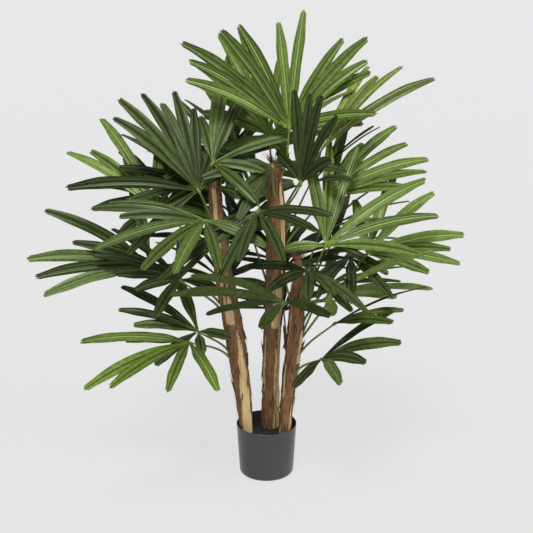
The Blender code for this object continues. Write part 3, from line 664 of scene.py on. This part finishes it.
class Layout:
    """Places stalks and leaflets one by one, each clear of all that stands before it."""

    def __init__(self):
        self.trunks = {name: trunk_solid(trunk) for name, trunk in TRUNKS.items()}
        self.trunk_trees = {name: tree_of(solid) for name, solid in self.trunks.items()}
        self.placed = [(None, self.bounds(solid), tree) for solid, tree in
                       zip(self.trunks.values(), self.trunk_trees.values())]
        self.stalks = {}
        self.leaflets = {}

    @staticmethod
    def bounds(solid):
        """Lowest and highest corner of a solid."""
        return [(min(p[k] for p in solid[0]), max(p[k] for p in solid[0])) for k in range(3)]

    def is_clear(self, owner, solid, skip_trunk=None):
        """Whether a solid meets nothing but pieces of its own fan."""
        box = self.bounds(solid)
        tree = tree_of(solid)
        for other, limits, other_tree in self.placed:
            if other == owner or other_tree is skip_trunk:
                continue
            if all(box[k][0] <= limits[k][1] and limits[k][0] <= box[k][1] for k in range(3)):
                if tree.overlap(other_tree):
                    return False
        return True

    def keep(self, owner, solid):
        """Remember the space that a placed piece takes."""
        self.placed.append((owner, self.bounds(solid), tree_of(solid)))

    def place_stalk(self, fan):
        """Try feet and bends round the trunk until the stalk runs free."""
        trunk = TRUNKS[fan.trunk]
        tree = self.trunk_trees[fan.trunk]
        hub = Vector(fan.hub)
        axis = fan_axes(fan.aim)[0]
        away = hub - trunk_centre(trunk, trunk_share(trunk, fan.seat))
        heading = math.degrees(math.atan2(away.y, away.x))
        for spread, turn, shift in itertools.product(STALK_SPREADS, STALK_TURNS, STALK_SHIFTS):
            outward = flat_direction(heading + turn)
            foot = seat_on_trunk(trunk, tree, fan.seat + shift, outward)
            if tree_of(stalk_solid(foot, outward, hub, axis, spread)).overlap(tree):
                continue
            wider = stalk_solid(foot, outward, hub, axis, spread, ROOM_SIDE)
            knob = hub_solid(hub, axis, ROOM_SIDE)
            if self.is_clear(fan.name, wider, tree) and self.is_clear(fan.name, knob):
                self.stalks[fan.name] = (foot, outward, spread)
                self.keep(fan.name, wider)
                self.keep(fan.name, knob)
                return True
        return False

    def place_leaflets(self, fan):
        """Turn, lift or shorten each leaflet until it is clear, or leave it out."""
        self.leaflets[fan.name] = []
        for angle, share in fan.leaflets:
            full_length = leaflet_length(fan.reach, angle, share)
            for shorter, (turn, tip_up) in itertools.product(SHORTER, nudges()):
                leaflet = (angle + turn, tip_up, full_length * shorter)
                solid = leaflet_solid(leaflet_line(fan, *leaflet), ROOM_SIDE, ROOM_FACE)
                if self.is_clear(fan.name, solid):
                    self.leaflets[fan.name].append(leaflet)
                    self.keep(fan.name, solid)
                    break

    def grow(self):
        """Place the front fans together, then the others one after another."""
        front = [fan for fan in FRONT_FANS if self.place_stalk(fan)]
        for fan in front:
            self.place_leaflets(fan)
        grown = list(front)
        for fan in back_fans():
            if self.place_stalk(fan):
                self.place_leaflets(fan)
                grown.append(fan)
        return grown


def pot_radius(height, inset=0.0):
    """Radius of the pot's straight sloping side at a height."""
    return FOOT_RADIUS + (RIM_RADIUS - FOOT_RADIUS) * height / POT_HEIGHT - inset


def set_sockets(node, **values):
    """Plain values on a node's own sockets."""
    for socket, value in values.items():
        node.inputs[socket.replace("_", " ")].default_value = value


def new_material(name, colour, roughness, **settings):
    """Principled material with plain values on the shader's own sockets."""
    made = bpy.data.materials.new(name)
    made.use_nodes = True
    set_sockets(made.node_tree.nodes["Principled BSDF"], Base_Color=(*colour, 1.0), Roughness=roughness,
                **settings)
    return made


def grained(name, roughness, cells, dark, light, low=0.35, high=0.65, bump=0.0, rough=0.0, **settings):
    """Material whose noise mixes two colours and, if asked, raises the surface and changes its roughness."""
    middle = tuple(0.5 * (first + last) for first, last in zip(dark, light))
    made = new_material(name, middle, roughness, **settings)
    nodes = made.node_tree.nodes
    link = made.node_tree.links.new
    shader = nodes["Principled BSDF"]
    place, mapping, grain, ramp = [nodes.new("ShaderNode" + kind)
                                   for kind in ("TexCoord", "Mapping", "TexNoise", "ValToRGB")]
    set_sockets(mapping, Scale=cells)
    set_sockets(grain, Scale=1.0, Detail=4.0)
    for stop, position, colour in zip(ramp.color_ramp.elements, (low, high), (dark, light)):
        stop.position = position
        stop.color = (*colour, 1.0)
    link(place.outputs["Object"], mapping.inputs["Vector"])
    link(mapping.outputs["Vector"], grain.inputs["Vector"])
    link(grain.outputs["Fac"], ramp.inputs["Fac"])
    link(ramp.outputs["Color"], shader.inputs["Base Color"])
    if bump:
        raised = nodes.new("ShaderNodeBump")
        set_sockets(raised, Strength=1.0, Distance=bump)
        link(grain.outputs["Fac"], raised.inputs["Height"])
        link(raised.outputs["Normal"], shader.inputs["Normal"])
    if rough:
        spread = nodes.new("ShaderNodeMapRange")
        set_sockets(spread, To_Min=roughness - rough, To_Max=roughness + rough)
        link(grain.outputs["Fac"], spread.inputs["Value"])
        link(spread.outputs["Result"], shader.inputs["Roughness"])
    return made


def new_object(name, data):
    """Object of a mesh, light or camera in the scene."""
    thing = bpy.data.objects.new(name, data)
    bpy.context.scene.collection.objects.link(thing)
    return thing


class Shell:
    """Gathers points, faces and material numbers for one joined mesh."""

    def __init__(self):
        self.points = []
        self.faces = []
        self.looks = []
        self.count = 0

    def add(self, points, faces, looks):
        """Add points, faces with four points each, and a material number for each face or for all."""
        self.points.append(points)
        self.faces.append(faces + self.count)
        self.looks.append(np.broadcast_to(looks, len(faces)))
        self.count += len(points)

    def piece(self, name, materials, node=None, sharp=SHARP):
        """Make the object, shaded smooth but for its sharp edges, that may stand for a node."""
        mesh = bpy.data.meshes.new(name)
        mesh.from_pydata(np.concatenate(self.points).tolist(), [], np.concatenate(self.faces).tolist())
        for made in materials:
            mesh.materials.append(made)
        mesh.polygons.foreach_set("material_index", np.concatenate(self.looks).astype(np.int32))
        mesh.validate()
        mesh.shade_smooth()
        mesh.set_sharp_from_angle(angle=math.radians(sharp))
        thing = new_object(name, mesh)
        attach(thing, "root")
        if node:
            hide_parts(node)


def sheet_faces(rows, columns, closed=False):
    """Faces of a grid of points, rows by columns, whose columns may close round."""
    here = np.arange(rows * columns).reshape(rows, columns)
    after = np.roll(here, -1, axis=1)
    if not closed:
        here, after = here[:, :-1], after[:, :-1]
    return np.stack((here[:-1], here[1:], after[1:], after[:-1]), axis=-1).reshape(-1, 4)


def edge_faces(rows, columns):
    """Faces that close the rim between an upper grid and the lower one numbered after it."""
    grid = np.arange(rows * columns).reshape(rows, columns)
    rim = np.concatenate((grid[0, :-1], grid[:-1, -1], grid[-1, :0:-1], grid[:0:-1, 0]))
    after = np.roll(rim, -1)
    return np.stack((rim, after, after + grid.size, rim + grid.size), axis=-1)


def closed_faces(rows, sides):
    """Faces of a tube of rings with an even number of sides, whose ends close on two more points."""
    body = sheet_faces(rows, sides, closed=True)[:, ::-1]
    low, high = rows * sides, rows * sides + 1
    last = (rows - 1) * sides
    caps = []
    for side in range(0, sides, 2):
        after = (side + 2) % sides
        caps.append((low, after, side + 1, side))
        caps.append((high, last + side, last + side + 1, last + after))
    return np.concatenate((body, np.array(caps)))


def leaflet_looks(rng, shade, pale_line, rim):
    """Material numbers of a leaflet's faces: the upper side, the underside and the faces of the rim."""
    row = np.repeat(np.arange(LEAF_ROWS), LEAF_COLUMNS) / LEAF_ROWS
    column = np.tile(np.arange(LEAF_COLUMNS), LEAF_ROWS)
    reach = rng.uniform(*PALE_ROOT)
    ragged = [rng.uniform(-1.0, 1.0) for _ in range(LEAF_COLUMNS)]
    in_root = row < reach + ROOT_RAGGED * np.tile(ragged, LEAF_ROWS)
    top = np.where(in_root, ROOT_LOOK, shade)
    # Ridge columns take the painted highlight
    top = np.where(np.isin(column, RIDGE_HIGHLIGHT_COLUMNS) & ~in_root, RIDGE_HIGHLIGHT_LOOK, top)
    # Groove columns take the painted shade, or on some leaflets the pale line with its painted sheen
    top = np.where(np.isin(column, GROOVE_COLUMNS), PALE_LINE_SHEEN_LOOK if pale_line else GROOVE_SHADE_LOOK, top)
    under = np.where(in_root, ROOT_LOOK, shade + len(SHADES))
    return np.concatenate((top, under, [shade] * rim))


def fine_leaflet(shell, line, rng, shade, pale_line):
    """Thin folded blade with ribs, veins and a ragged tip along a leaflet's line."""
    rows, columns = LEAF_ROWS + 1, LEAF_COLUMNS + 1
    along = np.linspace(0.0, 1.0, rows)[:, None]
    across = np.linspace(-1.0, 1.0, columns)[None, :]
    ragged = np.array([rng.uniform(0.0, 1.0) for _ in range(columns)])[None, :]
    end = 1.0 - TIP_ROUND * across ** 2 - TOOTH_DEPTH * ragged
    teeth = TEETH_FROM + (along - TEETH_FROM) * (end - TEETH_FROM) / (1.0 - TEETH_FROM)
    share = np.where(along > TEETH_FROM, teeth, along)
    steps = np.linspace(0.0, 1.0, LEAFLET_STEPS + 1)
    frames = np.array([[*point, *side, *face] for point, side, face in line])
    placed = np.stack([np.interp(share, steps, frames[:, k]) for k in range(9)], axis=-1)
    middle, flat_side, flat_face = placed[..., 0:3], placed[..., 3:6], placed[..., 6:9]
    roll = (rng.uniform(-ROLL, ROLL) + rng.uniform(-TWIST, TWIST) * share)[..., None]
    side = flat_side * np.cos(roll) + flat_face * np.sin(roll)
    face = flat_face * np.cos(roll) - flat_side * np.sin(roll)
    opening = ROOT_WIDTH + (1.0 - ROOT_WIDTH) * smooth_all(share / FINE_FULL_AT)
    closing = 1.0 - TAPER_BY * smooth_all((share - TAPER_FROM) / (1.0 - TAPER_FROM))
    fullness = opening * closing
    ripple = share * rng.uniform(*EDGE_RADIANS) + rng.uniform(*WAVE_START) + (across > 0) * EDGE_AHEAD
    wave = EDGE_WAVE * np.sin(ripple)
    wide = 0.5 * LEAFLET_WIDTH * rng.uniform(*FINE_WIDTH) * opening * closing * (1.0 + wave)
    height = -LEAFLET_RIB * (1.0 - RIB_THINS_BY * share) * FOLD_DEPTH * (1.0 - np.abs(across))
    rib = np.exp(-((np.abs(across) - SIDE_RIB_AT) / SIDE_RIB_WIDTH) ** 2)
    height = height + SIDE_RIB_HEIGHT * fullness * rib
    height = height - GROOVE_DEPTH * fullness * np.exp(-(across / GROOVE_WIDTH) ** 2)
    vein = np.where(np.arange(columns)[None, :] % 2 == 0, -1.0, 1.0)
    height = height + VEIN_HEIGHT * fullness * vein
    swell = np.sin(share * rng.uniform(*FACE_RADIANS) + rng.uniform(*WAVE_START))
    height = height + FACE_WAVE * fullness * swell * across
    upper = middle + side * (across * wide)[..., None] + face * height[..., None]
    lower = upper - face * LEAF_THICKNESS
    top = sheet_faces(rows, columns)
    rim = edge_faces(rows, columns)
    shell.add(np.concatenate((upper.reshape(-1, 3), lower.reshape(-1, 3))),
              np.concatenate((top, top[:, ::-1] + rows * columns, rim)),
              leaflet_looks(rng, shade, pale_line, len(rim)))


def tube(shell, path, radii, sides, look=0, flat=1.0):
    """Tube through a path of points, closed at both ends, flattened if asked."""
    path = np.array([tuple(point) for point in path])
    ways = np.gradient(path, axis=0)
    ways /= np.linalg.norm(ways, axis=1)[:, None]
    hint = np.array((0.0, 0.0, 1.0) if abs(ways[0][2]) < STEEP else (1.0, 0.0, 0.0))
    cosines, sines = np.cos(turns(sides))[:, None], np.sin(turns(sides))[:, None]
    rings = []
    for point, way, radius in zip(path, ways, radii):
        first = hint - way * hint.dot(way)
        first /= np.linalg.norm(first)
        hint = first
        rings.append(point + radius * (cosines * first + flat * sines * np.cross(way, first)))
    shell.add(np.concatenate(rings + [path[:1], path[-1:]]), closed_faces(len(path), sides), look)


def bead(shell, centre, length, radius, rings, sides):
    """Small closed body along a length, through rings of a place along it and a width."""
    tube(shell, [centre + length * along for along, _ in rings], [radius * wide for _, wide in rings], sides)


def leaf_looks(name, tint):
    """Materials of one tint: shades of the upper side, shades of the underside, and the leaf's parts.

    The groove's material is painted shade; the ridges and the pale line carry painted highlights.
    """
    gleam = dict(Specular_IOR_Level=tint.gleam, Specular_Tint=(*GLINT, 1.0))
    looks = []
    for side, plain, roughness in (("upper", tint.upper, UPPER_ROUGHNESS),
                                   ("under", tint.under, UNDER_ROUGHNESS)):
        for number, shade in enumerate(SHADES):
            dark, light = (tuple(channel * shade * spot for channel in plain) for spot in SPOT_SHADES)
            looks.append(grained("leaf_%s_%s_%d" % (name, side, number + 1), roughness, SPOT_CELLS, dark,
                                 light, rough=SPOT_ROUGHNESS, **gleam))
    # Painted sheen, scaled by the tint's gleam, lightens the ridges and the pale line
    for part, shade, painted_sheen in LEAF_PARTS:
        colour = tuple(channel * shade + painted_sheen_channel * tint.gleam for channel, painted_sheen_channel in zip(tint.upper, painted_sheen))
        looks.append(new_material("leaf_%s_%s" % (name, part), colour, UPPER_ROUGHNESS, **gleam))
    return looks


def build_fan(fan, layout, looks, stalk_look):
    """Fine leaflets, stalk and hub of one fan."""
    rng = random.Random("fan " + fan.name)
    blades = Shell()
    for angle, tip_up, length in layout.leaflets[fan.name]:
        line = leaflet_line(fan, angle, tip_up, length * FINE_LONGER)
        pale_line = rng.random() < TINTS[fan.tint].lines
        fine_leaflet(blades, line, rng, rng.choice(SHADES_DRAWN), pale_line)
    foot, outward, spread = layout.stalks[fan.name]
    hub = Vector(fan.hub)
    axis = fan_axes(fan.aim)[0]
    bends = stalk_bends(foot, outward, hub, axis, spread)
    shares = steps_to_one(FINE_STALK_STEPS)
    radii = [STALK_SLIM * mix((STALK_FOOT_RADIUS, STALK_TIP_RADIUS), share) for share in shares]
    stem = Shell()
    tube(stem, [arch_point(bends, share) for share in shares], radii, FINE_STALK_SIDES)
    bead(stem, hub, axis * KNOB_LENGTH, KNOB_RADIUS, KNOB, KNOB_SIDES)
    blades.piece("leaflets_" + fan.name, looks[fan.tint], "frond_" + fan.name)
    stem.piece("stalk_" + fan.name, [stalk_look], "frond_" + fan.name)


def strip_share(strips, height, turn):
    """How far inside a bare strip of wood each place lies: above 0 is bare, below 0 is wrapped."""
    best = np.full(np.broadcast(height, turn).shape, -1.0)
    for low, high, angle_low, angle_high, wide_low, wide_high in strips:
        along = (height - low) / (high - low)
        angle = np.radians(-90.0 + angle_low + (angle_high - angle_low) * along)
        wide = np.radians(wide_low + (wide_high - wide_low) * along)
        off = np.abs((turn - angle + math.pi) % (2.0 * math.pi) - math.pi)
        from_side = (wide - off) / math.radians(STRIP_SIDE)
        from_ends = np.minimum(along, 1.0 - along) / STRIP_ENDS
        best = np.maximum(best, np.minimum(1.0, np.minimum(from_side, from_ends)))
    return best


def noise_field(height, turn, tall, wide, seed):
    """Smooth noise on a trunk's skin, in cells of a height in metres and a width as a share of the radius."""
    level = [np.broadcast_to(wave(turn) / wide, height.shape) for wave in (np.cos, np.sin)]
    spots = np.stack((*level, height / tall + seed), axis=-1).reshape(-1, 3)
    return np.array([noise.noise(spot) for spot in spots]).reshape(height.shape)


def build_trunk(name, looks):
    """Wrapped pole: bark-like fibre with torn edges over bare strips of wood."""
    trunk = TRUNKS[name]
    seed = TRUNK_SEEDS[name]
    rings = int((trunk.tip[2] - TRUNK_FOOT) / SKIN_CELL) + 1
    share = np.linspace(0.0, 1.0, rings)[:, None]
    turn = np.array([turns(SKIN_SIDES)])
    centres = np.array([tuple(trunk_centre(trunk, part)) for part in share[:, 0]])
    height = centres[:, 2:] + 0.0 * turn
    plain = np.interp(share, np.linspace(0.0, 1.0, len(trunk.radii)), trunk.radii)
    fold = np.sin(WRAP_FOLDS_ROUND * turn + WRAP_TWIST * share) * np.sin(math.pi * share)
    coarse, fibres, fine, edge = [noise_field(height, turn, tall, wide / plain.mean(), seed + more)
                                  for tall, wide, more in SKIN_NOISES]
    bare = strip_share(STRIPS[name], height, turn) + RAGGED * edge + RAGGED * fibres > 0.0
    layer = (height / SHEATH_LENGTH + SHEATH_WANDER[0] * coarse + SHEATH_WANDER[1] * edge
             + SHEATH_SLANT * np.sin(turn + seed) / math.pi) % 1.0
    mean, lump, thread, speck = WRAP_RELIEF
    wrapped = mean + lump * coarse + thread * fibres + speck * fine + SHEATH_STEP * (layer - 0.5)
    mean, lump, thread = WOOD_RELIEF
    relief = np.where(bare, mean + lump * coarse + thread * fibres, wrapped)
    grown = np.minimum(1.0, np.minimum(share, 1.0 - share) * RELIEF_GROWS)
    radius = plain * (1.0 + WRAP_FOLDS * fold) + relief * (RELIEF_LEFT + (1.0 - RELIEF_LEFT) * grown)
    points = np.stack((centres[:, :1] + radius * np.cos(turn), centres[:, 1:2] + radius * np.sin(turn),
                       height), axis=-1).reshape(-1, 3)
    cell_looks = np.where(bare, 1, np.where(fibres < CRACK_AT, 2, 0))[:-1].reshape(-1)
    skin = Shell()
    skin.add(np.concatenate((points, centres[:1], centres[-1:])), closed_faces(rings, SKIN_SIDES),
             np.append(cell_looks, np.zeros(SKIN_SIDES)))
    skin.piece("skin_" + name, looks, "trunk_" + name, SHARP_SKIN)


def skin_point(trunk, share, turn, out):
    """Point off a trunk's skin, at a share of its height that stays off the ends."""
    share = min(LOOSE_ENDS[1], max(LOOSE_ENDS[0], share))
    radius = mix(trunk.radii, share) + out
    return trunk_centre(trunk, share) + radius * Vector((math.cos(turn), math.sin(turn), 0.0))


def loose_start(kind, trunk, rng, ways):
    """Drawn start of a loose fibre or shred: share of the height, turn, and rise to its end as a share."""
    share, turn = rng.uniform(*kind.place), rng.uniform(0.0, 2.0 * math.pi)
    return share, turn, rng.choice(ways) * rng.uniform(*kind.length) / (trunk.tip[2] - TRUNK_FOOT)


def add_hairs(shell, trunk, rng):
    """Thin loose fibres that leave the trunk in a curl."""
    for _ in range(HAIRS.count):
        share, turn, rise = loose_start(HAIRS, trunk, rng, (-1.0, 1.0, 1.0))
        twist = rng.uniform(-HAIRS.twist, HAIRS.twist)
        lift = rng.choice(HAIR_LIFTS) * rng.uniform(*HAIR_LIFT_SPREAD)
        path = [skin_point(trunk, share + rise * part, turn + twist * part * part,
                           lift * part ** 1.5 + HAIR_OFF) for part in steps_to_one(HAIRS.steps)]
        tube(shell, path, np.linspace(1.0, 0.5, len(path)) * rng.uniform(*HAIRS.radius), 4)


def add_shreds(shell, trunk, rng, flaps):
    """Flat strips of wrap that peel off: drawn ones, then those of the photo."""
    for _ in range(SHREDS.count):
        share, turn, rise = loose_start(SHREDS, trunk, rng, (-1.0, 1.0))
        lift = rng.uniform(*SHRED_LIFT)
        twist = rng.uniform(-SHREDS.twist, SHREDS.twist)
        path = [skin_point(trunk, share + rise * part, turn + twist * part, lift * part ** 2 + SHRED_OFF)
                for part in steps_to_one(SHREDS.steps)]
        tube(shell, path, rng.uniform(*SHREDS.radius) * SHRED_TAPER, 6, rng.choice((0, 1, 1)), flat=0.3)
    for low, high, angle, lift, wide in flaps:
        turn = math.radians(angle - 90.0)
        path = [skin_point(trunk, trunk_share(trunk, low + (high - low) * part), turn + FLAP_TWIST * part,
                           lift * part ** 1.6 + FLAP_OFF) for part in steps_to_one(SHREDS.steps)]
        tube(shell, path, wide * FLAP_TAPER, 6, 1, flat=0.2)


def add_tuft(shell, trunk, rng):
    """Frayed strands that stand out of the trunk's tip."""
    for _ in range(TUFT):
        turn = rng.uniform(0.0, 2.0 * math.pi)
        outward = Vector((math.cos(turn), math.sin(turn), 0.0))
        start = Vector(trunk.tip) + TUFT_RING * trunk.radii[-1] * outward - UP * TUFT_DEPTH
        way = (outward * rng.uniform(*TUFT_LEAN) + UP).normalized()
        size = rng.uniform(*TUFT_LENGTH)
        curl = Vector((rng.uniform(-1, 1), rng.uniform(-1, 1), rng.uniform(-0.8, 0.2))) * TUFT_CURL * size
        path = [start + way * size * step / TUFT_STEPS + curl * (step / TUFT_STEPS) ** 2
                for step in range(TUFT_STEPS + 1)]
        tube(shell, path, np.linspace(1.0, 0.35, len(path)) * rng.uniform(*TUFT_RADIUS), 4, flat=0.6)


def build_fuzz(name, looks):
    """Loose fibres, peeling shreds and the frayed tuft at a trunk's tip, as one joined piece."""
    trunk = TRUNKS[name]
    rng = random.Random("fuzz " + name)
    shell = Shell()
    add_hairs(shell, trunk, rng)
    add_shreds(shell, trunk, rng, FLAPS[name])
    add_tuft(shell, trunk, rng)
    shell.piece("fibres_" + name, looks)


def lathe(name, node, look, outline, wobble=None):
    """Round closed piece for a node, from an outline of (radius, height) that starts and ends on the axis."""
    turn = np.array(turns(POT_STEPS))
    rows = []
    for radius, height in outline[1:-1]:
        ring = np.stack((radius * np.cos(turn), radius * np.sin(turn), np.full(POT_STEPS, height)), axis=-1)
        if wobble:
            ring[:, 2] += [wobble(x, y, height) for x, y in ring[:, :2]]
        rows.append(ring)
    ends = [[(0.0, 0.0, height)] for height in (outline[0][1], outline[-1][1])]
    shell = Shell()
    shell.add(np.concatenate(rows + ends), closed_faces(len(rows), POT_STEPS), 0)
    shell.piece(name, [look], node, SHARP_ROUND)


def build_pot(look):
    """Pot with a slightly rolled rim and a soft foot."""
    outline = [(0.0, 0.0)]
    for step in range(FOOT_STEPS + 1):
        turn = 0.5 * math.pi * step / FOOT_STEPS
        outline.append((pot_radius(FOOT_ROUND) - FOOT_ROUND * (1.0 - math.sin(turn)),
                        FOOT_ROUND * (1.0 - math.cos(turn))))
    outline += [(pot_radius(height), height) for height in POT_RINGS]
    half = 0.5 * POT_WALL
    for step in range(RIM_STEPS + 1):
        turn = math.pi * step / RIM_STEPS
        outline.append((RIM_RADIUS - half + half * math.cos(turn),
                        POT_HEIGHT - half + half * math.sin(turn)))
    outline += [(pot_radius(POT_INNER_RING, POT_WALL), POT_INNER_RING),
                (pot_radius(FOOT_ROUND, POT_WALL), FOOT_ROUND),
                (pot_radius(FOOT_ROUND, POT_WALL) - FOOT_ROUND + POT_FLOOR, POT_FLOOR),
                (0.0, POT_FLOOR)]
    lathe("pot_shell", "pot", look, outline)


def build_fill(look):
    """Filler with a rough top."""
    def rough(x, y, height):
        if height < FILL_TOP:
            return 0.0
        spot = Vector((x, y, 0.0))
        return sum(depth * noise.noise(spot * cells) for cells, depth in FILL_ROUGH) - FILL_LOWER
    low = POT_FLOOR + CLEAR
    gap = POT_WALL + CLEAR
    outline = [(0.0, low), (pot_radius(FOOT_ROUND, gap) - FOOT_ROUND + POT_FLOOR, low),
               (pot_radius(FOOT_ROUND, gap), FOOT_ROUND + CLEAR)]
    rim = pot_radius(FILL_TOP, gap)
    outline += [(rim * step / FILL_STEPS, FILL_TOP) for step in range(FILL_STEPS, -1, -1)]
    lathe("fill_top", "fill", look, outline, rough)


def build_glue(look):
    """Small lumps of glue on the filler, joined into one piece."""
    lumps = Shell()
    rng = random.Random(GLUE_SEED)
    aside, deep = GLUE_SCATTER
    for _ in range(GLUE_LUMPS):
        spot = Vector(GLUE_AT) + Vector((rng.uniform(-aside, aside), rng.uniform(-deep, deep), 0.0))
        size = rng.uniform(*GLUE_SIZE)
        bead(lumps, spot, UP * size, size, GLUE, GLUE_SIDES)
    lumps.piece("glue", [look])


def sun(name, place, width, strength):
    """Soft far light that shines from a place towards the plant and lights the floor evenly."""
    lamp = bpy.data.lights.new(name, "SUN")
    lamp.angle = math.radians(width)
    lamp.energy = strength
    thing = new_object(name, lamp)
    thing.location = place
    thing.rotation_euler = (-Vector(place)).to_track_quat("-Z", "Y").to_euler()


def build_studio():
    """Pale floor, soft light and the camera of the photo."""
    scene = bpy.context.scene
    scene.view_settings.view_transform = "Standard"
    floor_mesh = bpy.data.meshes.new("floor")
    half = FLOOR_SIZE / 2.0
    corners = [(-half, -half, 0.0), (half, -half, 0.0), (half, half, 0.0), (-half, half, 0.0)]
    floor_mesh.from_pydata(corners, [], [(0, 1, 2, 3)])
    floor_mesh.materials.append(new_material("floor", FLOOR_COLOUR, FLOOR_ROUGHNESS,
                                             Emission_Color=(1.0, 1.0, 1.0, 1.0),
                                             Emission_Strength=FLOOR_GLOW))
    new_object("floor", floor_mesh)
    world = bpy.data.worlds.new("studio")
    world.use_nodes = True
    set_sockets(world.node_tree.nodes["Background"], Color=(*SKY_COLOUR, 1.0), Strength=SKY_STRENGTH)
    scene.world = world
    for name, place, width, strength in SUNS:
        sun(name, place, width, strength)
    lens = bpy.data.cameras.new("camera")
    lens.lens = CAMERA_LENS
    lens.sensor_width = CAMERA_SENSOR
    camera = new_object("camera", lens)
    camera.location = CAMERA_PLACE
    camera.rotation_euler = (math.radians(90.0 - CAMERA_PITCH), 0.0, 0.0)
    scene.camera = camera


def main():
    """Dress every part and set the studio."""
    build_studio()
    layout = Layout()
    leaves = {name: leaf_looks(name, tint) for name, tint in TINTS.items()}
    stalk_look = new_material("stalk", *STALK_LOOK)
    for fan in layout.grow():
        build_fan(fan, layout, leaves, stalk_look)
    looks = {name: grained(name, **values) for name, values in GRAINED.items()}
    for name in TRUNKS:
        build_trunk(name, [looks["wrap"], looks["wood"], looks["torn"]])
        build_fuzz(name, [looks["coir"], looks["torn"]])
    build_pot(looks["pot"])
    build_fill(looks["soil"])
    build_glue(new_material("glue", *GLUE_LOOK))


main()
